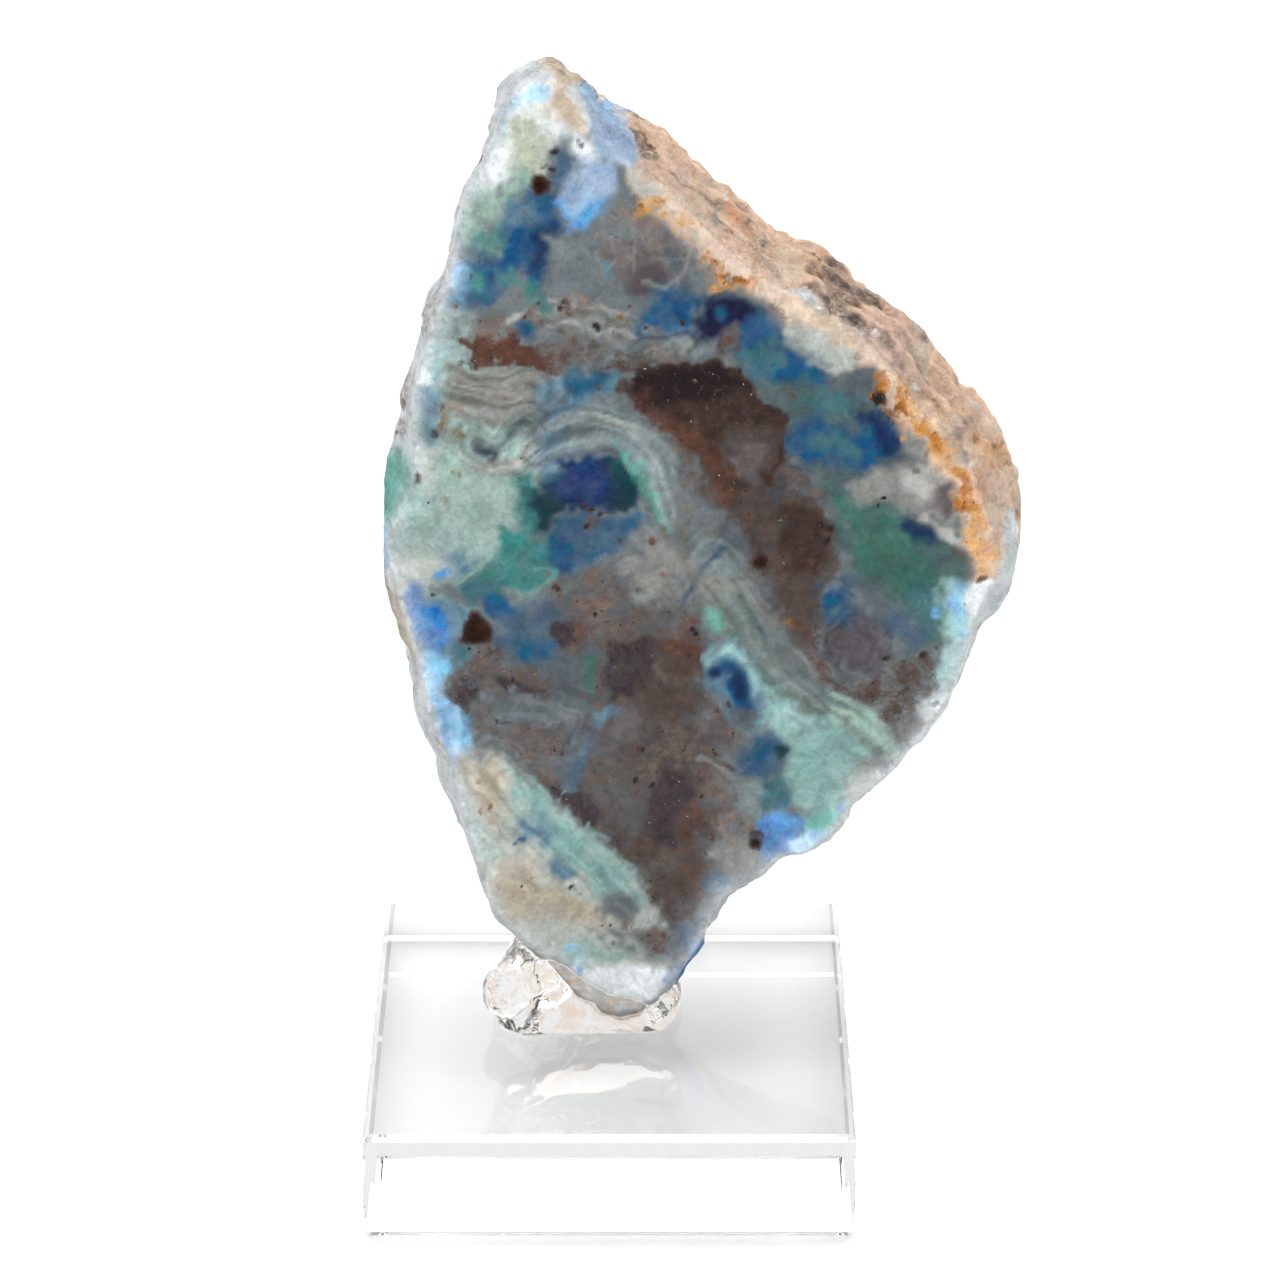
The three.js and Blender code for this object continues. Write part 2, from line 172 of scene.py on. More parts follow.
# Odd factors that scatter the bits of a grid corner and its seed.
SCATTER_FACTORS = (374761393, 668265263, 1442695041, 1013904223)
STIR_FACTOR = 1274126177

# Colours as seen in the picture, in 8-bit sRGB.
SEEN = {
    "milk": (231, 237, 240), "chalk": (179, 184, 177), "frost": (232, 237, 241),
    "sage": (184, 193, 170), "celadon": (150, 173, 168), "willow": (146, 174, 163),
    "mint": (102, 164, 156), "bright_mint": (108, 184, 172), "aqua": (132, 168, 165),
    "pale_aqua": (154, 190, 190), "sea": (62, 126, 126), "teal": (80, 96, 99),
    "jungle": (64, 106, 98), "deep_teal": (24, 58, 66), "lagoon": (68, 105, 115),
    "azurite": (30, 77, 121), "royal": (4, 52, 104), "navy": (16, 26, 58), "ink": (8, 46, 84),
    "cobalt": (54, 112, 182), "bluebell": (84, 144, 208), "sky": (128, 182, 228),
    "ice": (166, 210, 246), "periwinkle": (148, 168, 200), "denim": (42, 80, 118),
    "dusk": (72, 92, 116), "steel": (94, 124, 144), "slate": (88, 95, 101),
    "mist": (128, 140, 142), "fog": (110, 117, 120), "ash": (136, 137, 133),
    "cloud": (176, 176, 172), "smoke": (98, 90, 88), "lilac": (88, 82, 86), "quartz": (114, 108, 107),
    "umber": (82, 69, 63), "mocha": (98, 87, 81), "cocoa": (64, 51, 47), "soot": (44, 37, 38),
    "plum": (66, 58, 62), "rust": (95, 71, 60), "clay": (114, 96, 86), "brick": (88, 62, 53),
    "khaki": (116, 115, 104), "olive": (122, 108, 72), "sand": (176, 168, 148),
    "linen": (200, 184, 160), "taupe": (132, 119, 109), "tan": (210, 178, 152),
    "peach": (240, 210, 180), "honey": (228, 188, 146), "ochre": (212, 156, 84),
    "limonite": (184, 118, 50), "umber_orange": (140, 82, 34), "rose": (202, 170, 152),
    "mauve": (112, 95, 88), "cream": (222, 200, 172), "black": (26, 17, 18),
    "maroon": (40, 18, 22), "hazel": (130, 92, 46), "gloom": (72, 70, 72),
    "agate": (136, 137, 130), "dim_agate": (112, 124, 119),
}

# Granular minerals lie as grains on the soft colours. The value is the share that the grains cover.
GRAINS = {
    "umber": 0.64, "mocha": 0.58, "cocoa": 0.84, "rust": 0.6, "clay": 0.54, "plum": 0.74,
    "mauve": 0.6, "taupe": 0.5, "khaki": 0.42, "brick": 0.84, "soot": 0.95, "ochre": 0.6,
    "limonite": 0.7, "umber_orange": 0.9, "hazel": 0.7, "olive": 0.45, "tan": 0.8, "rose": 0.8,
}

# The hidden back: rind colours that blend into each other over broad areas, and minerals in
# crusts, each with the noise level where it begins and a seed.
BACK_COLOURS = ["taupe", "tan", "mocha", "clay", "sand", "umber"]
BACK_MINERALS = [("azurite", 0.3, 11), ("sea", 0.26, 12), ("celadon", 0.3, 13), ("ochre", 0.36, 14)]

# Patches of the polished face in the order they are painted: colour, softness of the edge, and
# the outline as u,w.
FACE_PATCHES = [
    # ground colours of the whole face
    ("fog", 3, "-20,-2 36,-2 36,82 -20,82"),
    ("celadon", 3, "-20,36 -7,36 -6,50 -13,60 -14,82 -22,60"),
    ("teal", 3, "12,57 24,54 32,42 31,30 20,33 18,42 13,48"),
    ("mocha", 2, "-14,29 -8,34 -4,38 2,39 8,34 9,27 10,16 8,7 4,7 0,13 -6,19 -12,25"),
    ("cream", 1.2, "1.6,72.6 5,70.6 9,67.2 13,63.4 17,60 21,57.4 25,53 29.4,48 32,42 33,37 30.2,37 "
     "29,42 26.4,46.4 23,51.5 20.4,54.4 15,57.4 12.4,60 9,62 7,65 4,67.6 2,69.6"),
    ("gloom", 2, "0,53 9,56 15,51 16,45 19,40 18,33 15,31 13,37 9,43 5,49"),
    ("slate", 2.5, "-13,27 -5,35 3,39 8,33 9,26 9,14 6,7 0,14 -8,23"),
    ("gloom", 2, "1,32 8,31 8,20 8,10 5,8 2,14 1,22"),
    # top: milky quartz over a blue wedge
    ("milk", 1.5, "-12,69 -9.6,74 -9.2,77 -7.6,79.5 -3.4,79.5 -1.2,73.6 -3.5,73 -5,73.2 -6.3,71.2 "
     "-8.6,70"),
    ("sage", 1.4, "-8,75 -6.5,76 -5.2,75 -4.8,73.2 -6,70.6 -7.4,70.4 -8.6,72"),
    ("linen", 0.9, "-4.6,78.8 -3.2,77.8 -2.4,76.4 -1.5,75.6 -1.9,73.4 -3.4,73.8 -4.4,75.4 -5,77"),
    ("milk", 1.2, "-3.2,74 -1.4,73.6 -1.2,72.4 -2.6,72 -3.6,72.8"),
    ("willow", 1.4, "-12.6,69 -10,69.4 -7.5,70.8 -6.4,70.2 -6.9,69 -9.3,67.6 -9.8,66 -8.8,64.2 -11.4,64 "
     "-13,65.6"),
    ("sea", 1.3, "-10.4,66.4 -8.6,66.8 -8.2,64.8 -9.6,64 -11,64.6"),
    ("azurite", 0.9, "-8.3,68.4 -6.5,69.2 -5,69.4 -4.7,71 -4.8,72.2 -3.9,73 -3.3,71.8 -3.6,70.3 -4.5,69 "
     "-4,67.4 -3.1,66.2 -4.4,65.2 -5,63.8 -5.2,62.2 -6.1,61.6 -7.6,62.4 -9.4,62.9 -8.9,64.6 -8.4,66"),
    ("steel", 1.4, "-8,68.2 -6.4,68.8 -5.6,67.8 -7.2,66.8 -8.2,67.2"),
    ("ink", 1.3, "-6,66 -4.4,66.6 -4.4,64.6 -5.2,62.6 -6.6,62.8 -6.8,64.6"),
    ("periwinkle", 0.7, "-3.4,71.7 -1.3,72.1 0.6,71.2 0.4,69.7 -0.4,68.6 -1.2,67.6 -2.4,66.8 -3.7,67.9 "
     "-4.4,69.4"),
    ("bluebell", 0.8, "-4.1,68.4 -3.1,66.3 -1.8,66.4 -0.6,67.6 -0.2,68.6 -1.4,68 -2.8,67.7"),
    ("periwinkle", 0.5, "-1.6,78 1,75 2.6,71.6 1.2,71.4 -0.6,72.4 -1.2,74.6"),
    ("taupe", 0.9, "0.7,71 2.6,71 4.4,69.8 3.5,68.6 2.4,68 0.8,68.4 -0.3,67.4 -1.3,66.1 -2.6,65.4 "
     "-1.2,64.6 0.4,65.9 2.3,67.4"),
    ("cloud", 1.2, "1.6,71.2 3.4,70.8 4.6,69.6 3.6,69 2.2,69.4"),
    ("fog", 0.9, "-5,65.4 -3,66 -1.2,64.6 -0.8,63 0.2,61.8 -0.6,60.2 -3.8,60 -4.8,61.6 -5.2,63.6"),
    ("mist", 0.9, "-4.8,65 -3,65.6 -2,64.6 -3.4,63.8 -4.8,64"),
    ("quartz", 0.5, "-1,64.3 0.3,65.2 1.9,64.6 2,62.6 0.9,61.5 -0.5,62"),
    ("quartz", 0.4, "2,67 3.6,67 4.6,66.4 5.6,65.4 6.5,64.2 6.2,62.4 4.6,61.2 2.4,61.6 1.9,63.4 2.1,65"),
    ("taupe", 0.9, "0.4,66 2,67.2 4.2,66.8 4.4,65.8 2.2,65.6"),
    ("lilac", 0.8, "2.2,63.4 4,63 5.2,61.6 3.6,60.6 1.6,60.6 0.8,61.6"),
    ("steel", 0.4, "-0.8,63.8 0.2,63.4 0.6,62 -0.3,62"),
    ("taupe", 0.4, "2.4,65.4 3.6,65.8 4.4,64.2 3.2,63.4"),
    ("slate", 0.4, "4.6,64.6 5.8,64.6 6.1,62.8 5,62"),
    ("taupe", 0.8, "6.6,65.4 8.2,64.3 9,62.4 10,61 12.6,60.4 13,59.4 10,59.8 7.6,60.3 6.9,62.6"),
    # left of the top: blue with green
    ("azurite", 1, "-13.2,62.4 -12,64 -10,64.2 -8.6,62.9 -8.2,61.4 -9.6,60.2 -11.6,59.8 -13,60.2"),
    ("sky", 0.9, "-13.4,61.6 -12.4,63.4 -11.6,62.6 -12.2,61"),
    ("sea", 0.9, "-11.4,62 -10.2,62.6 -9.8,61.4 -10.8,61"),
    # brown and beige band under the top
    ("brick", 0.8, "-13.6,57.7 -12.2,57.6 -11.3,58.7 -8.9,59.3 -7.6,58 -7,56.5 -5.6,55.8 -4.8,54.2 "
     "-6.3,54.1 -8,54.7 -10.5,54.3 -12,55 -11.8,56"),
    ("mauve", 1, "-11.8,58.8 -9.6,59.6 -8,58.4 -9.4,57 -11.2,57.4"),
    ("brick", 1, "-11.6,56 -9,55.6 -7.4,56.4 -5.9,55.8 -6.6,54.8 -8.6,55 -10.8,54.6"),
    ("taupe", 1, "-8,59.6 -5,60.4 -1,60.4 1.6,59.6 2,57.6 3,56.2 0,56.4 -4,57 -6.4,57.8"),
    ("khaki", 0.8, "-5.4,59.4 -4.2,59.4 -4,58.4 -5.2,58.2"),
    ("taupe", 0.7, "-3.4,60.4 -0.6,60.6 0.8,59.6 -0.6,59.2 -2.8,59.6"),
    ("taupe", 0.8, "-5.6,57.4 -3.6,57.8 -2.4,56.9 -4.4,56.2"),
    ("ash", 0.8, "-2.8,58.9 -1,59 -0.2,57.6 -2,57.1"),
    ("denim", 0.9, "-7.6,58.2 -6.2,58.6 -5.4,57.6 -6.6,56.8"),
    ("mocha", 0.8, "-5.6,56.2 -4.4,57 -2,57.2 0,56 -1,54.6 -3.4,53.7 -4.8,54"),
    ("rust", 0.9, "-5,56 -3.8,56.2 -3.4,54.6 -4.4,53.8 -5.2,54.6"),
    ("umber", 0.9, "-1.2,54.2 0.4,55.9 2.4,56 3.8,55.4 2.4,54.2 0,53.7"),
    ("taupe", 0.8, "3.6,56.6 5.2,57.2 7,56.4 6.8,54.9 4.6,54.5 3.6,55.4"),
    # blue at the upper right
    ("azurite", 0.9, "8,60 12.8,59.6 14.2,58 15.2,57.4 16,56 18.2,54.4 17.6,52.9 14,53.2 12,54 10.8,56 "
     "8.4,57"),
    ("denim", 1, "2.4,57.2 3.4,59.6 4.2,61.2 6.2,61.2 7.4,59.6 6.6,57.7 4.6,56.8"),
    ("navy", 0.9, "6.8,58 7.4,59.3 8.8,60.4 11,60.2 12.4,59.5 10.4,58.6 9,57.2 8,56.6 7.3,57"),
    ("lagoon", 1.4, "11.4,55.6 13.6,56.8 14.6,55 13,53.6 11.6,54"),
    ("taupe", 0.6, "12.2,60 13.2,60 15.4,58.6 14.2,58 12.8,58.9"),
    ("chalk", 0.4, "14.6,57.5 16,58.6 18.6,57.7 20.4,57.2 21,56 20,55 18.4,54.2 17,55 15.4,55.9"),
    ("mist", 0.6, "15,57 16.6,56.4 18,55 16.8,54.8 15.4,55.8"),
    ("cream", 0.7, "16.2,59 18.6,57.8 20.6,57.4 22.4,55.6 23.6,53.8 22.4,54 21,55.8 18.8,57 16.2,58.2"),
    ("slate", 0.8, "18.2,54.2 20,55 21.6,55 22,53 21.2,51.8 18.6,52.4"),
    ("soot", 0.6, "21.6,53.8 22.3,54.2 23.6,50.8 24,49.2 22.9,49.6 21.9,51.6"),
    # teal field with blue at the right
    ("teal", 1, "12,53 14,53.4 18,53 20,52 22,51 24,48.4 22.4,47 20.6,45.2 16.6,46 15,47.6 14.6,50 "
     "12.6,51.6"),
    ("lagoon", 1, "17,53.2 20.6,52.4 20.4,50.6 17.4,50.4 15.4,51.8"),
    ("azurite", 1.1, "15.3,49.6 17,50.4 20,49.4 22.6,51.4 23.8,49.6 23.8,47.4 21.2,46 18.6,46.6 "
     "16.4,46.2 15,48"),
    ("lagoon", 1.1, "17.6,49.4 19.6,49 20.8,47.2 18.8,47.4 17,48.2"),
    ("ink", 0.8, "20.8,51 22.8,51.4 24,49 24,47.6 22.6,47.4 21.6,49"),
    ("jungle", 1, "18.6,44.6 21,44 24,42.8 25.4,42.2 28,40.6 29.4,38.6 29.8,36.4 28.8,34.6 27.8,31.8 "
     "26.2,31.6 24.8,34.4 23.4,36 21.4,37 20.2,38.6 20.4,40 18.6,42"),
    ("jungle", 1.3, "22,41.4 25,41.8 27,39.4 27.4,37.2 24.4,37 22.4,38.8"),
    ("ink", 0.8, "24.2,41.4 24.8,42.7 26.6,41.9 28,41 26.8,39.8 25.4,40.4"),
    ("teal", 1, "25.6,39.4 27.4,40.2 28.9,39.2 28.6,37.8 26.6,37.8"),
    ("lagoon", 1.4, "24.8,36.4 27,36.8 28,34.4 26.6,32.4 25,33.6"),
    ("pale_aqua", 0.9, "27.8,37 29.9,36.9 30.4,35 30.2,33 29.8,31 29.2,29 28.3,26.8 27.7,28.4 27.8,30.6 "
     "28,33 27.6,35"),
    ("sky", 0.9, "28.6,36.9 30,36.9 30,34.4 29,33.4 28.4,34.6"),
    ("frost", 0.5, "30,37 31.6,37 33,37 32,34.6 30.2,33.4 29.8,35"),
    # grey quartz and limonite at the right
    ("ash", 0.8, "20,45 22,46.2 24,46.7 26.5,47.6 28,46.6 29,44.6 29.6,42.6 28.8,40.8 27.2,41.4 "
     "25.6,42.4 24,42.8 22,43.2 20.2,43.4"),
    ("cloud", 0.7, "24,46.2 27,46.8 28.2,44.8 26,43.4 24.2,44.6"),
    ("smoke", 0.8, "27,45 28.6,45.4 29.2,43 28,42 27,43"),
    ("cloud", 0.5, "26,42.2 28.4,41.4 29.6,40 28.8,39.8 27,41"),
    ("ash", 0.5, "23.8,47.6 24.6,49.4 26.4,49.2 27.4,47.4 26,46.4"),
    ("cream", 0.7, "25.6,49.6 27.4,48.8 29.2,47 29.9,44.6 28.6,44.4 26.8,46.6 26.6,48.2"),
    ("honey", 0.8, "23,52.6 25.4,51 28.2,48.6 30,46 31.2,42.6 32,39 31.6,37 30.6,38.6 29.8,41 28.6,44 "
     "26.4,47.4 23.8,50"),
    # the great brown patch
    ("cocoa", 0.9, "0.6,53.4 3,54.6 6,55 9,55.3 11.4,54.2 12,52.4 14.4,51 14.4,48.6 15,46.6 13.6,44.4 "
     "12.6,42.8 10.6,43 9.4,44.4 8.2,46 6.4,48 4.2,50 2.4,51.6"),
    ("umber", 1.2, "9.8,49.4 12.8,50.4 14,48.4 13,45.4 11,44.6 9.6,46.8"),
    ("soot", 1, "1.6,53.6 5,54.6 9.5,54.7 11.5,53 9,51.6 5,51.6 2.6,52.2"),
    ("smoke", 1.1, "10.8,48.4 12.4,48.6 13,46.8 12,45 10.6,45.6 10.2,47"),
    ("mocha", 1.2, "4.8,49.2 6.4,48 8.4,45.6 9.6,43.4 7.6,43 5.6,45.2 4.4,47.6"),
    ("mauve", 1.2, "14.6,46 16.4,46 18.6,44.6 17.6,43.6 14.6,43.8"),
    ("umber", 0.9, "10,43.6 12.4,44.6 14.2,43.6 16.6,43.8 18,42.6 18.6,40.6 19.4,38.6 18.6,36.4 18,34 "
     "17.8,31 19,29.2 21.5,28.6 24,29.8 26,31.4 27.2,30.8 27.7,28.6 28,26.4 26.6,24 24.4,22 23.5,22.8 "
     "23.6,24 22,25.4 20,26.6 18,27 17,28.6 15.8,30.4 14.6,32 14.2,34.6 12.8,36.4 11.4,37.6 11,39.6 "
     "9.6,41.6"),
    ("cocoa", 1.2, "14.4,43 17.4,42.4 18,39.8 17.4,37.4 15.2,37.2 14.4,40"),
    ("rust", 1, "14.6,34 15.6,33.4 17,31 18.6,28.8 17.6,28 16,30.2 14.8,32"),
    ("lilac", 1.1, "18.4,33.2 20.8,34 23,32.6 23.6,30.2 21.8,28.8 19.6,29.2 18.2,31"),
    ("umber", 1.2, "23.6,29.6 25.8,30.6 27.2,29.4 26.4,27.4 24,27.2"),
    ("denim", 1.2, "18.4,36.4 20.4,37 20.8,34.8 20,33.2 18.4,33.6"),
    ("slate", 1.2, "20.6,37 22.8,36.4 24.2,34.2 22.6,33.2 20.8,34.6"),
    ("dusk", 1.1, "23.4,35 25,34 25.4,32 24.2,31.2 23,32.8"),
    # spots with halos around the brown
    ("slate", 0.9, "9.6,41.2 11,41 11.4,39.8 10,39.2 9,40.2"),
    # milky left field and agate
    ("frost", 1, "-16.6,58 -15,58.4 -13.8,56 -13.6,53.8 -15.4,52.4 -16.6,53"),
    ("pale_aqua", 1.2, "-15,57 -13.6,57 -13,54.6 -14,52.4 -15.6,54"),
    ("steel", 0.9, "-16,52.8 -14.6,53 -13.8,51.6 -13.8,49.6 -14.4,48 -15.8,48.4"),
    ("lagoon", 0.8, "-15.8,50.4 -14.8,50.8 -14.4,48.6 -15.4,48.2"),
    ("agate", 0.9, "-13.4,55 -11.5,54.6 -8,54.9 -5.8,54.2 -5.4,53 -6.6,51.4 -8.4,50 -11,49.8 -13.2,51.6"),
    ("ash", 0.8, "-10.8,51.4 -8.6,51.6 -7.2,51 -8.6,49.8 -10.8,50"),
    ("taupe", 1, "-13.6,51.6 -12,51.8 -11,50.6 -12.4,50.2 -13.6,50.6"),
    ("celadon", 1, "-18.6,38 -18.6,44 -16.6,47.8 -14,48.2 -11.6,47.6 -8,47.6 -7.2,45 -7.4,41 -9.2,39 "
     "-11,38 -13.6,36.2 -16,36.6 -18.2,37"),
    ("agate", 1, "-12,47.6 -10.2,46.6 -8,47 -6.6,49 -5.4,49.8 -5,48.2 -7,46 -9.6,45.2 -12,46"),
    ("mint", 1.8, "-19,41 -18.4,46.4 -17.2,48 -16,46.2 -16.2,43.4 -17,41.4"),
    ("willow", 1, "-14,47.4 -12.4,47.7 -11.7,46.4 -12.1,45 -13.3,44.4 -14,45.6"),
    ("chalk", 1.1, "-15.8,47.8 -14.4,47.6 -14,46 -14.8,44.6 -15.8,45.6"),
    ("chalk", 1.2, "-19,38.8 -16,39.2 -13.8,38.4 -13.4,37 -15.2,36.4 -17.2,35.4 -18.6,36.6"),
    ("steel", 1.6, "-13.4,38.6 -11,38.4 -12,37 -13.6,36.6"),
    ("bluebell", 0.4, "-14.8,37.1 -14,38 -13.4,37.4 -14.2,36.7"),
    # the eye: a dark blue body in teal, under pale arcs
    ("mist", 0.9, "-7.6,49 -5.6,50.4 -2.6,51.6 0.6,51.9 3,50.8 4.6,48.4 5.6,46 4.6,43.4 5,41.2 3.4,41 "
     "2.2,43 2.6,45.6 1.6,47.4 -0.6,48.2 -3,48 -4.8,47.2 -6.6,46.4 -7.6,47.4"),
    ("steel", 0.9, "-5.4,49.6 -3.8,49.4 -4.6,47.8 -6,46.6 -6.6,47.6"),
    ("steel", 0.7, "-5.9,52.8 -4,53.5 -2,53.8 0.6,54.1 0.8,52.8 -1.6,51.9 -2.6,50.8 -4.4,50.2 -5.8,50.6"),
    ("denim", 1, "-3.4,53.2 -1.8,54.1 -0.6,53.8 -1.2,52.6 -2.8,52"),
    ("khaki", 1.4, "3,51 4.8,48.8 6,46 7.6,43.4 9.4,41.8 8.6,40.2 6,40.6 4.8,42.6 5,45 4,48"),
    ("sea", 0.9, "-7.8,45.6 -6.4,46 -5.6,43 -5.6,40.4 -7.6,40 -7.8,43"),
    ("denim", 1.1, "-5,43 -1,42.8 1.8,43 2.6,41.9 0.9,40.5 0.6,39.2 -1.2,38.3 -3.2,37.5 -5,38 -6,39.6 "
     "-5.4,41.4"),
    ("ink", 0.8, "-5.9,45.6 -5.2,47 -4.2,47.6 -1.6,47.5 0.8,46.9 2,45.6 2.4,44 1.2,42.9 -0.6,42.7 "
     "-2.6,43 -4.4,43 -6,43.6"),
    ("deep_teal", 1, "-7,44 -6,44.8 -4.4,44.4 -3.6,43.4 -4.4,41.4 -6.4,40.8"),
    ("deep_teal", 0.9, "0,46.7 1.4,46.8 2.3,45 1.9,43.3 0.2,43"),
    ("royal", 1, "-4.4,45.4 -3.4,47 -1.2,47 -0.4,45.2 -1.2,43.8 -3.4,43.8"),
    ("steel", 0.6, "-6,46.2 -5,46.9 -4,46.4 -4.8,45.6 -5.8,45.4"),
    ("dusk", 1.2, "-3.6,41.8 -1.4,42 0.6,41.6 0,39.8 -2.4,39.2 -3.8,40.2"),
    ("sea", 0.7, "-8.4,41 -5.4,40.6 -4.9,39.4 -4.9,38 -5.4,36.7 -7.6,36 -10,36 -13.4,36 -11.6,37.4 "
     "-10,38.6 -9,39.8"),
    ("lagoon", 0.6, "-13.4,36 -11,37.3 -9.6,37.2 -8.5,36 -8.2,34.6 -9,33.4 -10.4,34.6 -12,34.6"),
    ("azurite", 0.8, "-10.4,35.4 -8.2,35.3 -7.4,34 -8.2,32.9 -9.6,33.3"),
    # blue down the left edge
    ("steel", 1, "-15,35 -12.6,35 -11.8,33 -12.4,30.6 -13.4,29.4 -14.8,30.8 -15.2,33"),
    ("lagoon", 1, "-13.4,31.2 -11.8,31.4 -11.6,29.8 -13,29.2"),
    ("cobalt", 0.6, "-16.3,36.6 -15.4,36.3 -15.4,34.8 -14.4,34.5 -13.6,33.4 -13.7,31.6 -14.8,30.6 "
     "-15.8,30.4 -16.6,31.8 -17.2,33.4 -17.5,34.6"),
    ("sky", 0.7, "-16.2,30.6 -13.8,30 -13.2,29 -14.6,27.6 -13.9,26.4 -12.4,25 -11.5,22.6 -11.7,20.8 "
     "-12.8,20.6 -13.8,22.4 -15,25 -15.9,27"),
    # brown matrix of the middle
    ("mocha", 0.9, "-4.8,37 -3.4,37.6 -1,38.2 1,39.2 3,38.4 5,37.4 6.4,36 8.2,33 8.2,30.5 8.6,28.6 "
     "9.3,26.6 9.8,24.5 10,22 8,21.4 10,20.4 11,18.6 11.4,16 9.4,14.6 8.6,12.6 8,10 7.4,7.8 6,6.6 "
     "4.6,7.2 3.3,9.6 2,11.8 0.2,13.4 -2.2,15.4 -4.4,17.5 -6.4,19.5 -8.4,22 -11,24 -12.6,25.4 "
     "-14.2,27.4 -13.2,29.2 -11.4,30.2 -9,31.4 -6.4,33 -4.8,34.6"),
    ("ash", 1.6, "0.6,38.8 3,38.6 6,36.8 6.6,34.6 3.6,34.6 1.4,36.4"),
    ("clay", 1.6, "-4.4,36.4 -1.6,37.2 0.6,36.4 1.4,34.4 -0.6,33 -3.4,32.6 -4.6,34.4"),
    ("rust", 1.2, "-4,34.4 -2.6,34 -1.8,32.6 -2.8,31.6 -4,32.6"),
    ("dusk", 1.2, "-9.2,33 -7.4,34.6 -5.4,35.4 -4.6,34 -4.4,31.6 -5.4,30 -8,29.9 -9.6,31"),
    ("denim", 1.1, "-7.4,31.8 -5.8,32 -4.8,30.8 -5.8,29.8 -7.4,30.4"),
    ("plum", 1, "-5.4,33 -4,33.4 -3,32.2 -4,31 -5.2,31.8"),
    ("plum", 1.1, "-0.4,32 1.6,31.8 3.4,31.4 3.9,29.6 3.2,28 1.8,26.6 0,26.4 -0.6,28.6"),
    ("umber", 1.2, "3.6,31.4 6,31.2 8,30.4 8,28.8 6,28.2 3.8,29"),
    ("brick", 1.2, "4,32.2 6.2,31.8 8,31.2 7.2,30.4 5,30.6"),
    ("umber", 1.2, "2.4,27.6 5,28.6 8.2,28.2 8.4,26 6,25.2 3.2,25.8"),
    ("plum", 1.2, "-13.8,27.6 -12.6,29.2 -11.2,28.8 -10.8,27 -12,25.6 -13.4,26.2"),
    ("umber", 1.1, "-10.4,31 -8.6,31 -7.6,30 -8.8,29.4 -10.4,29.8"),
    ("plum", 1.1, "-9.4,28.2 -7,28.6 -4.8,27.8 -5.6,26.8 -8.4,26.8"),
    ("rust", 1, "-7.8,29.4 -5.8,29.2 -4.6,28.2 -5.6,27.8 -7.4,28.4"),
    ("fog", 1.2, "-10.4,26.8 -6,26.8 -3,26.4 -1.8,25 -5,24.4 -9,24.9"),
    ("slate", 1.3, "-5.2,29.4 -3.4,30 -1.8,28.4 -2.2,26.8 -4.4,26.8"),
    ("clay", 1.2, "-9.6,23.9 -7.4,24.2 -4.8,23 -3.4,20.8 -5,19.4 -7,20.6 -8.6,22.2"),
    ("smoke", 1.2, "-3.2,24.6 -0.6,25.2 2.4,25.8 2.8,23.8 -0.4,22.8"),
    ("plum", 1.2, "-5.4,19.2 -3,19.8 -1.4,18 -0.2,16 -2.6,15.8 -4.4,17.6"),
    ("plum", 1.1, "3,18.6 4.4,20.8 7,20.6 7.6,18.4 6,16.6 5.8,14 3.8,13.8 3,16"),
    ("umber", 1.2, "-0.6,16.6 2,16.2 4,14 3.8,11.8 1.6,12.6 -0.4,14.4"),
    ("smoke", 1.3, "0.8,18.8 2.6,19 3,16.8 1.4,16.2"),
    ("rust", 1.2, "5.8,17.6 7.6,17.8 8.4,15.4 8,12.6 7.4,10 5.8,11 5.8,14.6"),
    ("umber", 1.2, "3.4,11.4 5.6,11.6 7.3,10.6 7.1,8 5.8,7.2 4.2,8.4"),
    ("clay", 1.2, "7.2,20.6 9.6,20.2 10.4,18 9.4,16.8 7.8,17.8"),
    ("smoke", 1, "8.2,26 10,25.8 11,23.8 10,22.2 8.4,22.8"),
    ("slate", 1, "-3.2,24 -1.4,24.2 -1.6,21.6 -2.8,19.6 -3.8,20.4"),
    ("ash", 0.9, "8.6,14.6 10.4,14.8 12.2,13.8 13,12.6 11.4,11 9.6,11.8 8.4,12.4"),
    ("steel", 0.9, "8.2,12.2 9.8,12 10.8,10.8 9.6,10 8.4,10"),
    # pale bands and the aqua field right of the middle
    ("khaki", 1.2, "4.4,42.6 8,41.8 10.6,40.6 11.4,38.4 13,36.6 14.2,34.6 14.6,32.4 16,30.4 17.2,28.2 "
     "18.6,26.8 21.6,25.8 23.8,23.8 23.4,21.8 20,23 14,26 11.4,30.6 8.4,35 5,38.4 2.6,40.4"),
    ("ash", 1, "2,40.6 4.6,40.2 8,38.6 11,37.6 12,35.2 10.4,33.8 8,34.6 5.4,37.4 2.8,38.6"),
    ("mist", 1, "7.2,39.6 9.6,40 11,38.2 9.8,36.8 7.4,37.8"),
    ("dim_agate", 1.1, "8.4,35 11,35.4 13.2,33 14.8,30 16.8,27.4 20.4,25.4 22.6,24 22.2,22 16,23.4 "
     "12.4,26.4 10.4,31 8.2,32.4"),
    ("aqua", 0.9, "12.2,28.6 13.6,27.2 16,25.6 19.4,24.6 21.8,23 21.8,20.4 20,19.2 19.4,17.2 18.6,15.4 "
     "16.4,14.6 15.8,16.8 15.2,18.6 14.6,20 14.6,22 13.8,23.8 12,24.8"),
    ("aqua", 1.7, "15.4,23.4 18.6,24 20.8,21.6 19.6,18.6 18,16.8 15.8,18.2 15,20.6"),
    ("pale_aqua", 1.1, "13,27 15.4,26.4 16.4,24.6 14.6,23.8 13,25.2"),
    ("bright_mint", 0.7, "16.2,15.9 18.4,17.3 19.5,16.6 18.6,15.2 16.8,14.8"),
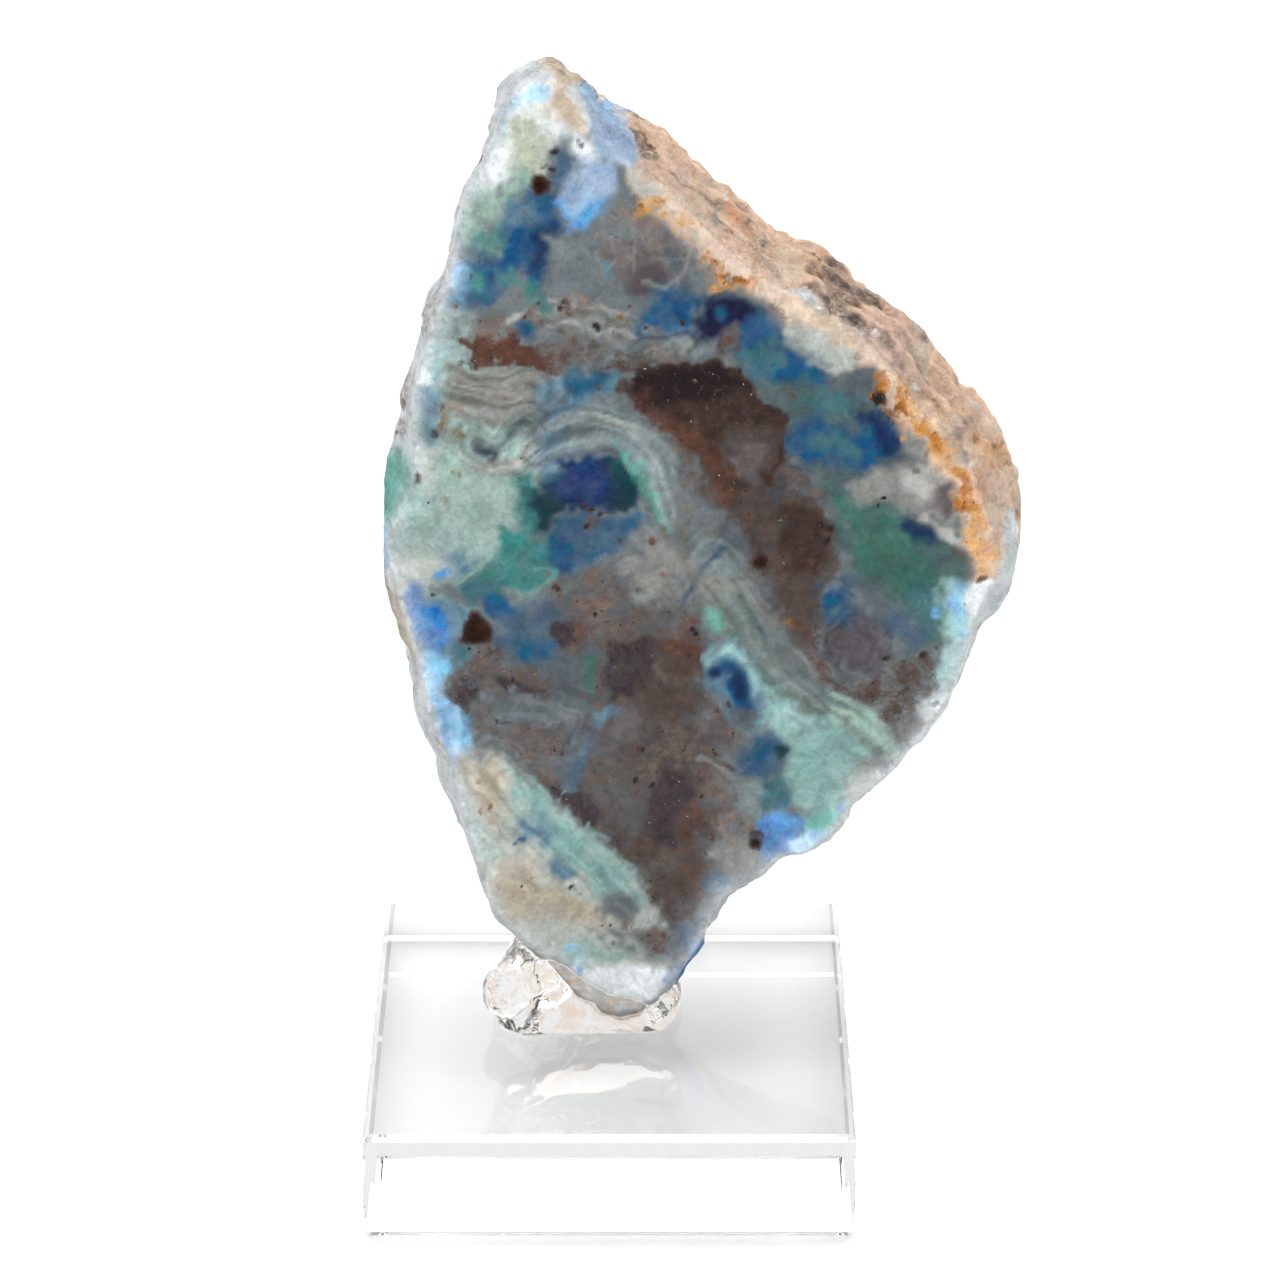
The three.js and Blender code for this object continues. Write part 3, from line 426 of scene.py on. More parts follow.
    ("willow", 1, "18.6,27 21.6,26 23.7,24 23.4,22.2 21.4,23.6 18.8,25"),
    ("chalk", 0.7, "20.2,19.6 21.4,20.8 23,20.8 23.8,20 22.4,18.6 20.8,17.6"),
    ("ash", 0.9, "20.4,21.6 21.6,22 22,21 21,20.4"),
    ("frost", 1, "26.6,26.2 28.4,27.4 28,25.4 26.4,23.8"),
    # blue crescent and the teal bodies below it
    ("steel", 0.9, "8.3,31.6 10.4,32 12.4,29.9 13.2,27.2 12.9,25 12,24.2 10.4,24.4 9.6,26.8 8.3,28.4"),
    ("pale_aqua", 1.1, "8.8,31.4 10.4,31.6 12,29.8 12.8,27.4 12.2,26.8 11.2,29.6 10,30.6 8.6,30.4"),
    ("azurite", 0.45, "8.5,29.2 9.4,30.3 10.4,30.2 11.4,29.3 11.9,27.6 12.1,25.9 11.8,24.6 10.7,24.5 "
     "10.4,26 10.1,27.4 9.8,28.7"),
    ("ink", 0.7, "9.8,29.8 11,29.4 11.5,27.6 11.2,26.4 10.5,26.8 10.3,28.6"),
    ("slate", 0.5, "10.3,25.8 12,25.6 12.2,24.4 11,23.9 10.2,24.6"),
    ("dusk", 0.6, "10.2,22.6 12,23.6 13.6,24.2 14.6,22.2 14.3,20.2 12.8,20 10.6,20.2"),
    ("lagoon", 0.5, "12.8,20.2 14.3,20.2 15.4,18.8 14.6,17.4 13.2,17.2 12.4,18.6"),
    ("denim", 1, "11.2,23 13.2,23.8 13.4,21.6 12,20.8"),
    ("deep_teal", 0.3, "13.5,22.9 14.6,22.4 13.7,21.7"),
    ("mist", 0.9, "11,19.8 12.6,19.9 12.8,18 12.4,16.4 11,17.2"),
    ("cobalt", 0.5, "12.4,15.8 13.6,16.7 15.6,16.6 16.1,15.1 15.4,13.9 14.2,13.1 12.9,12.4 12.5,14"),
    ("bluebell", 0.8, "12.8,16.2 14.2,17 15.6,16.4 14.6,15.4"),
    ("ice", 0.5, "14.9,14.3 16.4,15.2 18.6,15.4 17.2,13.6 15.3,13.2"),
    # pale lower left
    ("chalk", 0.9, "-13.8,20.6 -11.6,22 -10,22.2 -8,21 -6.2,19.1 -4.6,17.3 -2.8,15.8 -1.2,14.4 0.4,13.4 "
     "1.8,11.9 2.8,10.7 3.6,9.3 4.8,7.4 3,7.2 1,7.2 -1,7 -3,6 -6,5 -8,6.4 -10.2,8.4 -11.4,13 -13,18"),
    ("celadon", 1.2, "-13.6,20 -11.8,20 -11.4,16.6 -9.4,13.6 -10.8,12 -12,15"),
    ("sand", 1.2, "-12.6,20.6 -10.4,21.6 -8.4,20 -8.6,17.6 -10,16 -11.4,17.6"),
    ("aqua", 1.2, "-8.4,21 -6,18.8 -4.2,17 -2.6,15.6 0.6,13.2 2,11.2 3,9.6 1.4,9 -0.8,10 -3,12 "
     "-5.6,13.4 -7,15.4 -8.4,18"),
    ("steel", 0.8, "-8,15.2 -7.4,16.6 -6,16.4 -5.2,15.2 -6.4,14.4 -7.6,14.4"),
    ("steel", 0.6, "-5.8,12.3 -4.6,12.8 -2.4,12.2 -2.4,11.2 -3.8,10.7 -5,11.6"),
    ("sand", 1.1, "-11,12.2 -8.6,11.6 -5,10.6 -2,9.3 0.4,8 -1.6,7 -5,7.6 -8.2,8 -10,9"),
    ("sand", 1, "-8.8,12.6 -7,12.8 -6.4,11 -8,10.4 -9,11"),
    ("fog", 1.1, "-0.4,9.8 1.6,10 2.6,8.6 1.2,7.8 -0.4,8.4"),
    ("chalk", 1, "-8.4,6.6 -5,7.4 -1.6,6.7 0.6,5.6 3,4.4 5,4 4.2,3.2 0,2.8 -3,3 -5.6,4.6"),
    ("celadon", 1, "-3.4,6.4 -1,6 1.4,5 1.2,4.2 -1.6,4.2 -3.4,5"),
    ("pale_aqua", 0.6, "-4.8,5.9 -3.4,5.9 -1.8,4.5 -2.2,3.4 -3.6,3.9"),
    ("rust", 0.8, "1.8,6.6 3.6,6.9 5.2,6.5 5.8,5.4 5,4.4 3,4.6 2,5.2"),
    ("clay", 0.8, "0.2,8 2,7.5 4.2,7.2 4.8,6.4 2.4,6.4 0.8,7"),
    ("slate", 0.6, "4.9,5.9 6.2,6.4 6.8,5 5.4,4 4.8,4.8"),
    ("dusk", 0.8, "6,7.8 7.4,7.6 7.8,6.4 6.6,5.6 5.9,6.6"),
    ("frost", 0.6, "-5.8,4.4 -3,4.1 0,3.9 3.6,3.7 5,3.1 4.4,0.4 2.4,-0.8 0,-0.8 -2,0.4 -4.4,2.4"),
    ("milk", 1.2, "-3.6,3.6 0,3.4 3,2.6 2,1 -1,1 -3,2"),
    ("frost", 0.9, "2.6,2.6 4.8,3 5.2,1.6 3.6,-0.4 2.2,0"),
    ("cobalt", 0.4, "4.7,2.7 5.4,3.7 6.2,4.5 6.7,5.6 7.6,6.3 7.5,5 6.4,3.4 5.3,2.2"),
]

# Veins and bands of the polished face: colour, width, softness, and the line.
FACE_VEINS = [
    ("ice", 0.9, 0.7, "-9.4,74.4 -8.7,75.8 -8,77 -7,77.6 -5.9,77.9"),
    ("ash", 0.16, 0.25, "-1,64.4 -0.4,62.2 0.9,61.1"),
    ("ash", 0.14, 0.25, "0.3,65.2 0.6,63.6 -0.3,62.2"),
    ("ash", 0.14, 0.25, "0.7,64 1.9,63.2"),
    ("ash", 0.14, 0.25, "2.2,65.6 3.4,63.6 4.8,63.4 6.4,63.8"),
    ("ash", 0.16, 0.25, "1.9,66.9 2.1,64.8 1.8,62.4"),
    ("ash", 0.18, 0.25, "6.7,64.4 6.2,62.5 4.6,61.1 2.4,61.4"),
    ("taupe", 0.3, 0.4, "-0.6,64.6 0.4,65.6 2,67.2"),
    ("umber", 0.35, 0.2, "0.4,65.4 1.8,64.5"),
    ("cloud", 0.4, 0.5, "-8.4,58.8 -6.6,59.6 -5,59 -3.4,59.6"),
    ("cloud", 0.35, 0.5, "-4.6,60.4 -2.4,59.2 -0.6,59.8 1.2,59"),
    ("cloud", 0.35, 0.5, "-5,57.9 -3,58.3 -1.4,57.2 0.6,57.8 2.4,57"),
    ("mist", 0.4, 0.5, "3.4,57.8 5,57.2 6.4,56.2"),
    ("khaki", 0.35, 0.4, "0.6,65.9 1.9,65.1"),
    ("ochre", 1.1, 0.9, "2.4,67.5 3.2,68 4.3,68.5"),
    ("ochre", 1.2, 0.9, "4.9,67 6.1,66.7 7.3,66.2"),
    ("ochre", 0.6, 0.6, "5.2,65.9 6.2,65.5 7,65.2"),
    ("limonite", 1.6, 0.9, "8.4,64.2 9.2,63 10.2,62.1 11.6,61.6"),
    ("umber_orange", 0.8, 0.6, "9.7,62.2 10.8,61.8"),
    ("ochre", 0.8, 0.9, "8.6,61 10,61.2 11,61"),
    ("sea", 1, 0.8, "-8.4,62.4 -7,61.5 -5.6,60.3 -5,59.3"),
    ("taupe", 0.8, 0.9, "-8.6,60 -7.4,59.4 -6,59.6"),
    ("limonite", 2, 1, "22.7,54.1 23.4,52.7 24.2,51 25,50.2"),
    ("umber_orange", 0.8, 0.6, "23.8,51.2 24.6,50.5"),
    ("ochre", 2.6, 1.2, "25.2,49.8 26.6,48.8 28,47.6 28.9,45.8"),
    ("limonite", 2, 1, "29.7,42.6 30.3,41.4 30.7,40.4"),
    ("ochre", 2.6, 1.2, "30.2,42.4 30.9,40.4 31.6,38.8 31.4,37.5"),
    ("umber", 1.2, 1, "29,44.8 29.2,43 29,41.9"),
    ("smoke", 0.8, 0.8, "28.6,39.6 29.6,38.6 30.2,37.4"),
    ("limonite", 1, 0.8, "25.4,49.6 26.2,49 27,48.4"),
    ("limonite", 1.4, 1, "28.6,46.4 29.2,44.8 29.6,43.4"),
    ("smoke", 0.28, 0.2, "22,47.2 23.8,46.8 25.7,46"),
    ("mocha", 0.45, 0.2, "25.8,47.6 25.9,46.9"),
    ("brick", 1.5, 1.3, "3,51.5 5,49.9 7,48.2 9.2,46 10,43.8"),
    ("taupe", 0.3, 0.4, "-12.8,54.1 -11,53.2 -9,53.1 -7.2,53.9"),
    ("cloud", 0.35, 0.4, "-12.6,53.4 -10.8,52.5 -8.8,52.5 -6.8,53.2"),
    ("taupe", 0.25, 0.35, "-12.4,52.8 -10.6,51.9 -8.6,51.9 -6.6,52.4"),
    ("slate", 1.2, 0.9, "-11,48 -10,47.7 -8.6,49 -7.4,50.1 -5.6,51 -4,51.9"),
    ("navy", 0.6, 0.6, "-10.7,47.7 -9.6,47.5"),
    ("cloud", 0.4, 0.4, "-12.4,47.5 -11.2,46.5 -9.6,46 -7.8,46.6 -6.9,47.9"),
    ("mist", 0.35, 0.4, "-12,46.6 -10.6,45.7 -9,45.4 -7,46"),
    ("ash", 0.35, 0.4, "-6,49.3 -4,50.1 -1,50.5 2,49.9 3.6,48"),
    ("fog", 0.3, 0.4, "-4.6,48.8 -2,49.5 0.8,49.2 2.8,47.8 3.9,45.6"),
    ("mint", 0.9, 0.7, "0.4,48.1 1.8,47.3 2.5,45.7 3,44 3.7,42.6 4.6,41.4"),
    ("mint", 0.3, 0.3, "-6,38 -4.5,37.8 -4.7,37 -6,36.3"),
    ("willow", 0.3, 0.3, "-13.2,36.2 -10.6,38 -9,39.4"),
    ("soot", 0.35, 0.5, "-2.4,43.3 -1.4,43 -0.2,42.8 1,43"),
    ("cobalt", 0.5, 0.4, "-14.3,25 -13.7,23.2 -13,21.2"),
    ("ice", 0.4, 0.5, "-13.4,26 -12.8,24 -12.3,22"),
    ("jungle", 1, 0.9, "-1.4,30.4 -1.2,28.6 -1.7,26.8"),
    ("steel", 0.9, 0.9, "-1.2,24.9 0.4,25.4"),
    ("dusk", 0.8, 0.9, "-1.6,23.4 -2.4,21.4 -3.3,19.2"),
    ("mint", 0.16, 0.15, "-3.7,18.8 -4.5,17.8"),
    ("denim", 0.5, 0.5, "5.8,34.8 6.8,36.5 7.8,37.8 9.6,39.6"),
    ("hazel", 0.5, 0.7, "7.6,36.4 9,36.6 10.2,35.6"),
    ("clay", 0.7, 0.9, "4.4,37.3 5.6,37.1 6.6,37"),
    ("teal", 0.5, 0.6, "10.4,36.6 11.7,34.2 13.1,31.4 15.2,28.8 18,26.8 21,25.4"),
    ("mist", 0.35, 0.4, "9.6,36 11,33.4 12.4,30.8 14.6,28.2 17.6,26"),
    ("khaki", 0.35, 0.5, "12.4,35.2 13.8,32.2 15.4,30"),
    ("umber", 0.35, 0.25, "7.9,21.3 9,21 10.4,20.8"),
    ("ash", 0.35, 0.3, "7.4,21.6 9,20.6 10.4,19.6 11.2,17.6"),
    ("taupe", 0.5, 0.5, "-9.2,10.8 -7.8,10.2 -6.2,9.7"),
    ("olive", 0.6, 0.9, "-5,9.2 -3.8,9 -2.6,8.6 -1.8,8.2"),
    ("mint", 0.12, 0.12, "-9.6,13 -8.4,13.6"),
    ("tan", 0.9, 0.8, "-2.4,1 -1.4,0.6 -0.6,0.2"),
    ("denim", 0.6, 0.5, "-0.1,0.1 0.7,-0.2"),
]

# Spots of the polished face: colour, radius, softness, and their middles.
FACE_SPOTS = [
    ("mocha", 0.4, 0.4, "-1.9,75.6 -2.7,73.4"),
    ("maroon", 0.2, 0.2, "-2.35,73.1 -1.9,75.3"),
    ("taupe", 0.4, 0.8, "-8.9,73.1"),
    ("umber", 0.6, 0.9, "-6.3,69.8 -5.1,70.9"),
    ("black", 0.62, 0.3, "-5.6,69.8"),
    ("black", 0.32, 0.3, "-4.9,71.2 -4.5,72.6"),
    ("soot", 0.26, 0.2, "-10.4,63.2 -11.2,62.1 -12.5,59.9 -13.8,58.8 -13.2,61.3"),
    ("plum", 0.16, 0.2, "-9.3,62.5 -13.9,59.9 -11.1,60.4 2.6,68"),
    ("sea", 0.5, 0.5, "-10.7,61.8"),
    ("black", 0.34, 0.25, "-1.6,57.9 -1.3,57.6"),
    ("mocha", 0.55, 0.5, "-6.4,59.3 -3.4,59.6 -0.5,58.7 1.9,58.4 -5.2,58.1 -2.2,58.8 0.5,57.6 4.2,57.3 "
     "-7.2,57.6"),
    ("soot", 0.22, 0.3, "-3.9,59.3 1.4,59.8 3.4,57.9 5.8,58.2 -5.8,60.2 -6.9,58.9"),
    ("ash", 0.34, 0.6, "-4.6,58.7 -2.7,59.9 -2.5,57.8 0.3,59.1 -5.3,57.3 4.8,56.4 6,55.6 -0.4,57.2"),
    ("umber", 0.35, 0.4, "-3.6,59.9 -4.4,57.4 -11.1,55 -12.2,55.2 -3.2,58.8"),
    ("khaki", 0.8, 0.5, "1,57"),
    ("hazel", 0.32, 0.3, "0.9,56.9 0.7,58.9"),
    ("umber", 1.4, 0.6, "9.7,57"),
    ("smoke", 1, 0.5, "9.8,57.2"),
    ("rust", 0.45, 0.5, "9.5,56.9"),
    ("denim", 0.5, 0.8, "9,58.9"),
    ("olive", 0.6, 0.5, "20,55.9"),
    ("ochre", 0.3, 0.4, "18.4,56.8 16,58.3"),
    ("clay", 0.5, 0.4, "14.9,52.5"),
    ("umber", 0.3, 0.25, "15.1,52.2 -1,52.9 -14.9,51.3 -13.6,51.2"),
    ("hazel", 1.3, 0.9, "-12.9,49.2"),
    ("olive", 0.9, 0.9, "-13.2,48.8 -12.3,49.8"),
    ("black", 0.4, 0.3, "-14.3,49.2"),
    ("umber", 0.22, 0.2, "-15.9,49 -15.7,48.2 -7.4,48.4 -7.5,47 -7.3,47.9"),
    ("olive", 0.3, 0.4, "-12.8,45.8 -12.9,45.2 -12.2,45.6"),
    ("taupe", 0.7, 0.9, "-13.2,43.6 -12.7,41.2 -12.8,42.3"),
    ("soot", 0.14, 0.12, "-14.8,43.3"),
    ("mocha", 0.8, 0.6, "-1.6,42"),
    ("rust", 0.4, 0.5, "-1.5,42"),
    ("soot", 0.22, 0.3, "-1.4,43 -1,42.6 -2.1,41.6 0.8,53 -3.7,50.4"),
    ("umber", 0.8, 0.7, "1,53"),
    ("brick", 0.4, 0.5, "3.2,40.2 0.6,40.4"),
    ("soot", 0.2, 0.15, "-18,36.5 -4.5,36.2 -14.6,35.6 -11.9,30.8"),
    ("rust", 0.9, 0.8, "6.8,32.8"),
    ("maroon", 0.2, 0.15, "6.9,33 7.2,32.6 -1.6,34.2"),
    ("clay", 0.5, 0.5, "8.4,34.4 12.9,35.3"),
    ("mint", 0.8, 0.9, "8.7,33.2"),
    ("plum", 0.3, 0.2, "10,26.2 9,25.7"),
    ("clay", 0.6, 0.6, "10.3,23.8"),
    ("ink", 0.5, 0.5, "8.9,29.3"),
    ("black", 0.5, 0.2, "12.5,38.4"),
    ("soot", 0.3, 0.25, "17.4,41.5 18.1,41.2 18,40.3 22.4,43.5 22,42.8"),
    ("soot", 0.35, 0.4, "23.2,30.3 25.9,30.8 27,31.6 27,26 27.5,26.2"),
    ("rust", 0.3, 0.35, "20.8,28 18.6,37.7 16.9,43.4 26.4,27.4 20.2,37.4"),
    ("hazel", 0.25, 0.35, "25.5,25.7 29.9,34.8 14.8,33.6"),
    ("bluebell", 0.35, 0.5, "27.1,34.3 29.3,32.4 19.6,17.1"),
    ("soot", 0.3, 0.3, "31.5,36.9 31.1,37.1"),
    ("taupe", 0.65, 0.5, "23,21.4"),
    ("taupe", 1.5, 0.8, "10.6,16"),
    ("clay", 0.8, 0.6, "10.6,16"),
    ("fog", 0.35, 0.4, "10.3,15.8"),
    ("plum", 0.7, 0.25, "12.2,14.5"),
    ("plum", 0.18, 0.15, "12.1,13.3 8.6,14.9 8,13.8"),
    ("brick", 0.3, 0.35, "8.5,15 7,11.6 6.2,15.4 2.1,22.6 4.6,6.6 3.6,5.2"),
    ("maroon", 0.2, 0.15, "2.2,22.5 3.6,19.8 2,20.1 -9.4,24.6"),
    ("umber", 0.14, 0.1, "-13,20.5 -12.5,20.3 -12.2,20.7 -12.7,20.1 -12,20.2"),
    ("hazel", 0.26, 0.15, "-10.9,17 -10,17.6 -10.2,17.3"),
    ("taupe", 0.25, 0.25, "-11,19.7 -6.7,19.6"),
    ("denim", 0.24, 0.25, "-7.7,14.2 -7.5,14.6"),
    ("black", 0.26, 0.12, "-3.3,10.2 -2.95,10.25"),
    ("brick", 0.22, 0.3, "-2.3,9.7"),
    ("taupe", 0.4, 0.5, "-1,8.9 0.4,5.8"),
    ("hazel", 0.22, 0.25, "0.4,5.7"),
    ("soot", 0.12, 0.12, "-7.4,10.6 -8,11.6 -6.8,11.2 -0.6,7.4 0,7.3 0.3,7.6"),
    ("steel", 0.4, 0.5, "9.2,11.2 8.6,10.5"),
    ("plum", 0.3, 0.4, "8.5,10.2 8.9,11.5 6.7,5.7"),
    ("sky", 0.35, 0.4, "-3.8,5.5 -2.8,3.8"),
    ("olive", 0.5, 0.5, "-1,14.7 -7.6,20.8 4.2,3.7"),
]

# Fine growth lines beside a guide line: how far they reach, their spacing, strength, and
# the guide.
GROWTH_LINES = [
    (3.8, 0.6, 0.26, "-13,53.6 -11,52.6 -9,52.4 -7,53.2 -5.6,52.8"),
    (2.8, 0.5, 0.24, "-11.4,48.2 -10.4,47.2 -8.6,47.6 -7.2,49"),
    (3.4, 0.62, 0.26, "-6.6,47.4 -4.5,49 -1,49.6 2,48.8 3.8,46 4.6,42.6"),
    (4.4, 0.7, 0.18, "9,38 12.4,34.4 14,31.2 16.2,28.6 19.4,26.4 23,24.2"),
    (4.6, 0.62, 0.16, "-9.4,20.6 -6.6,17.6 -3.6,14.6 -0.4,12 2,8.8"),
    (2.6, 0.5, 0.26, "19.4,31.4 20.6,32.4 22,31.6 21.8,30 20.4,29.8"),
    (2.4, 0.45, 0.12, "3,37 4.2,37.6 5.2,36.4 4.4,35.2 3.2,35.6"),
    (3, 0.5, 0.24, "-8.6,26 -5.4,25.8 -3,25 -3.8,23.6 -6,23.8"),
    (2.4, 0.5, 0.22, "-1,54.6 1.4,54.8 3.4,56 6,56.4"),
]

# The rind as seen from the front, painted the same way; u,w are where it shows over the face.
# Its milk and frost patches along the edges are painted glow of light through the thin rind.
RIND_PATCHES = [
    ("peach", 1, "-1,84 -0.6,76 3,70 10,63 20,54 27,48 31,37 40,34 40,84"),
    ("tan", 1, "1,84 1,75 3,70 10,63 20,54 27,48 31,37 40,34 40,84"),
    ("milk", 2, "-22,84 -1.6,84 -1,77.6 -3.4,78.8 -8,78 -10,72 -22,62"),
    ("linen", 1, "-7,80.6 -4,80.8 -2.4,78.4 -3.6,77.8 -5.6,79.6"),
    ("frost", 1.5, "-24,74 -10,73 -12.6,66 -14.4,56 -16.4,50 -16.4,42 -18.6,38 -15,22 -9,7 2,-1 -20,-6"),
    ("taupe", 1, "-16.4,62 -13.2,64 -13,60 -14.6,56.4 -16.4,57"),
    ("taupe", 1, "-18,54 -16,55 -16,49 -18,49.4"),
    ("mint", 1.4, "-20,42 -19,48 -17,48.4 -15.6,46 -16,43 -18,41"),
    ("sky", 0.9, "-20,41 -18.6,41 -18.2,38 -20,37.4"),
    ("sand", 1, "-19.6,37.4 -17.4,36 -15.8,30 -17.6,28"),
    ("frost", 1.2, "-17.4,30 -15.6,29 -12.6,19 -10,10 -14,8 -18,24"),
    ("frost", 1.2, "9,9 14,12.6 20,17 24,16 14,8 8,4"),
    ("cobalt", 0.7, "4,0.6 6,3 8,7 10,6 8,0"),
    ("frost", 1.2, "20,17 27,24 30,31 34,32 30,20 24,14"),
    # the lower end above the putty
    ("milk", 1.5, "-8,5 -4,1.6 0,0.4 5,1.6 8,-6 -10,-6"),
    ("peach", 1, "-3,0.6 -1,0.2 0,-2 -3,-1.4"),
    # blue crystals by the top
    ("periwinkle", 0.4, "-3.2,79.4 -1.2,78.6 2.2,76 2.4,73.4 2,71.4 0.2,71.6 -1.4,74 -2,76.4"),
    ("ice", 0.5, "-3,79.6 -1.6,79 -1.8,77.8 -2.8,78.4"),
    ("frost", 0.4, "-1,77.4 1.4,76.4 1.8,75.4 0.2,75.8 -1,76.6"),
    # peach, tan and pink down the upper right
    ("peach", 0.8, "2.2,76.2 4,75.6 8,72 11,69 13,67 9,68.8 6,70.6 4.4,72 2.4,74.4"),
    ("clay", 0.8, "2,74.6 3.8,74.6 4.4,72.6 4,71.4 2.4,71.8 2,73"),
    ("rose", 1, "4.6,71.6 7,70 9.6,67.6 12.6,64.6 11,63.6 8.8,65 6.4,67.8 4.4,70"),
    ("cream", 0.7, "4.6,70 6.4,69.2 8,67 7,66.6 5.4,68"),
    ("honey", 0.8, "9.6,68.8 12,67.8 13.6,66.4 12,65.8 10,67.2"),
    ("taupe", 0.9, "12,67.6 13.8,67.4 14,65 12.6,64.4 11.6,65.4"),
    ("cream", 0.5, "12.8,63.4 14.4,64 15.8,63.2 15.6,61.6 13.8,61.4 12.8,62.2"),
    ("honey", 0.6, "15.8,64.6 17.6,64.4 19.6,62.4 18.4,61.4 16.8,62.2"),
    ("peach", 0.5, "16,64.4 17.4,64.2 18.6,62.9 17.4,62.8 16.4,63.4"),
    ("rose", 1, "14,67 16,66 17.8,65 19.4,63.6 18,64.2 15.4,65.2"),
    ("mauve", 0.8, "15.6,61.6 18,62 19.6,60.8 18,60.2 16,60.6"),
    ("frost", 0.4, "14,60.6 15.8,61.4 17.4,60 17.8,59 16,59.4 14,60"),
    ("chalk", 0.5, "16.8,59 19.6,58.6 21,57.4 19.4,57.6 17.4,58.4"),
    ("umber", 0.8, "17.4,60.8 19.6,60.4 21,58.8 22,57.4 20.4,57.8 18.4,59"),
    ("peach", 0.9, "18.8,63.4 21,61.8 22.4,60.4 21.4,59.6 19.8,61"),
    ("rose", 0.9, "21,60.4 23.4,60 25.4,57.6 27,54.6 26.2,52.4 24,53.4 22,56 21,58"),
    ("cloud", 0.7, "23.6,60.4 25.8,58.6 27,56.6 25.6,56.6 24,58.6"),
    ("linen", 0.7, "26,57.4 28.6,55.2 29.4,53.4 27.8,53.6 26.4,55.2"),
    ("smoke", 1, "26.8,54.8 27.8,54.4 28,53.2 27,53.2"),
    ("peach", 0.9, "28,53.6 29.8,53.2 31.4,51 32.4,48.6 31,49.2 29,51.4"),
    ("cloud", 0.6, "30.2,52 31.6,51.4 31.8,50 30.6,50.6"),
    ("tan", 1, "25,52 27.4,52 29.6,50.4 31.4,48 31.8,46 30.2,47 28,49.4 25.6,50.6"),
    ("taupe", 0.9, "28,51 29.4,50.8 30,49 28.8,49"),
    ("honey", 0.9, "29.4,47.6 31.4,47.4 32.4,45 32.2,42.6 30.8,43.4 29.6,45.4"),
    ("cream", 0.9, "31,46.4 32.8,45.6 33,42.6 32.6,40.4 31.8,41.4 31.2,44"),
    ("milk", 0.7, "32.6,49 34,47 35.6,44 35.6,40 34,35 31.4,33 31.6,36 32.6,39 33,44"),
]
RIND_VEINS = [
    ("mocha", 0.3, 0.4, "5,71.4 7,70 9.4,67.6"),
    ("hazel", 0.3, 0.4, "9.8,66.2 11.6,65 13.4,63.4"),
    ("tan", 0.5, 0.5, "7.4,71 9.6,69.4 11.8,67.6"),
    ("hazel", 0.3, 0.3, "14.4,61.3 15.4,61.1 16.2,61.6"),
    ("limonite", 0.25, 0.3, "16.8,62.7 17.4,62.4 17.8,62.2"),
    ("clay", 0.35, 0.4, "16,64.6 17.8,64.5 19.6,62.6"),
    ("plum", 0.5, 0.5, "18.2,59 19.2,58.8 20.4,58.9 21.2,57.9"),
    ("mauve", 0.4, 0.6, "21.6,58.6 23.4,56.4 24.6,54.2"),
    ("hazel", 0.4, 0.6, "25,53.4 26.6,52 27.8,50.4"),
    ("ochre", 0.5, 0.7, "30.3,49 31.2,47.4 31.8,45.2"),
    ("hazel", 0.4, 0.5, "-3.4,79.4 -2.8,78.4 -2.2,77.2"),
    ("tan", 0.3, 0.4, "-7,79.6 -5.4,79.2 -4,79"),
]
RIND_SPOTS = [
    ("umber", 0.4, 0.4, "2.6,73.9 3.4,73.2 3.9,74 2.5,72.5 3.6,72.3"),
    ("brick", 0.3, 0.3, "3,72.5 3.9,72.6 30.3,48.6 -17.6,50"),
    ("ash", 0.7, 0.5, "9.1,66.8 13,65.2"),
    ("plum", 0.3, 0.3, "9.4,66.5 8.1,65.5 10.6,63.5 13,64.8 17.5,62.4"),
    ("limonite", 0.3, 0.4, "17.3,62.6 31.6,46.8 32,44"),
    ("soot", 0.25, 0.25, "10.7,63.4 13,64.7 17.6,62.3 21.9,57.6 -17,52"),
    ("frost", 0.25, 0.2, "13.1,64.1 25.5,53 21.9,57.8 9.8,68.6"),
    ("linen", 0.4, 0.4, "11.2,65.8 7.4,68.6 28.4,50.2 30.2,46.8"),
    ("taupe", 0.35, 0.4, "-3.7,79.2 -7.2,79.2 -9,77.4 -4.8,79.8"),
]

# An outline just inside the polished face, to tell the pits in it from the rind.
FACE_HEART = (
    "-7.5,76 -4,76 0,70 7,64 13,58 20,53.5 25,48 28,42 29,36 28,29 22,20 14,13.5 8,10 4.5,4 1,1.5 -3,3 "
    "-9,9.5 -12,20 -16,36 -16.5,44 -13,56 -10.5,68")


# Noise and distances.


def path(text):
    """The points of an outline or a line that is written as "u,w u,w"."""
    return [tuple(float(value) for value in point.split(",")) for point in text.split()]


def lattice(i, j, k, seed):
    """A repeatable value from -1 to 1 for a corner of the noise's grid."""
    low_32, low_16 = 0xFFFFFFFF, 0xFFFF
    h = sum(factor * value for factor, value in zip(SCATTER_FACTORS, (i, j, k, seed))) & low_32
    h = ((h ^ (h >> 13)) * STIR_FACTOR) & low_32
    return ((h ^ (h >> 16)) & low_16) / (low_16 / 2) - 1


def eased(t):
    """A share from 0 to 1 that starts and ends gently."""
    return t * t * (3 - 2 * t)


def smoothstep(low, high, value):
    """A share that rises gently from 0 at low to 1 at high."""
    return eased(np.clip((value - low) / (high - low), 0, 1))


def value_noise(points, size, seed):
    """Smooth noise from -1 to 1 over points, with features of that size."""
    scaled = points / size
    cell = np.floor(scaled).astype(np.int64)
    t = eased(scaled - cell)
    total = np.zeros(len(points))
    for corner in np.ndindex(2, 2, 2):
        weight = np.prod(np.where(np.array(corner) == 1, t, 1 - t), axis=1)
        i, j, k = (cell + corner).T
        total += weight * lattice(i, j, k, seed)
    return total


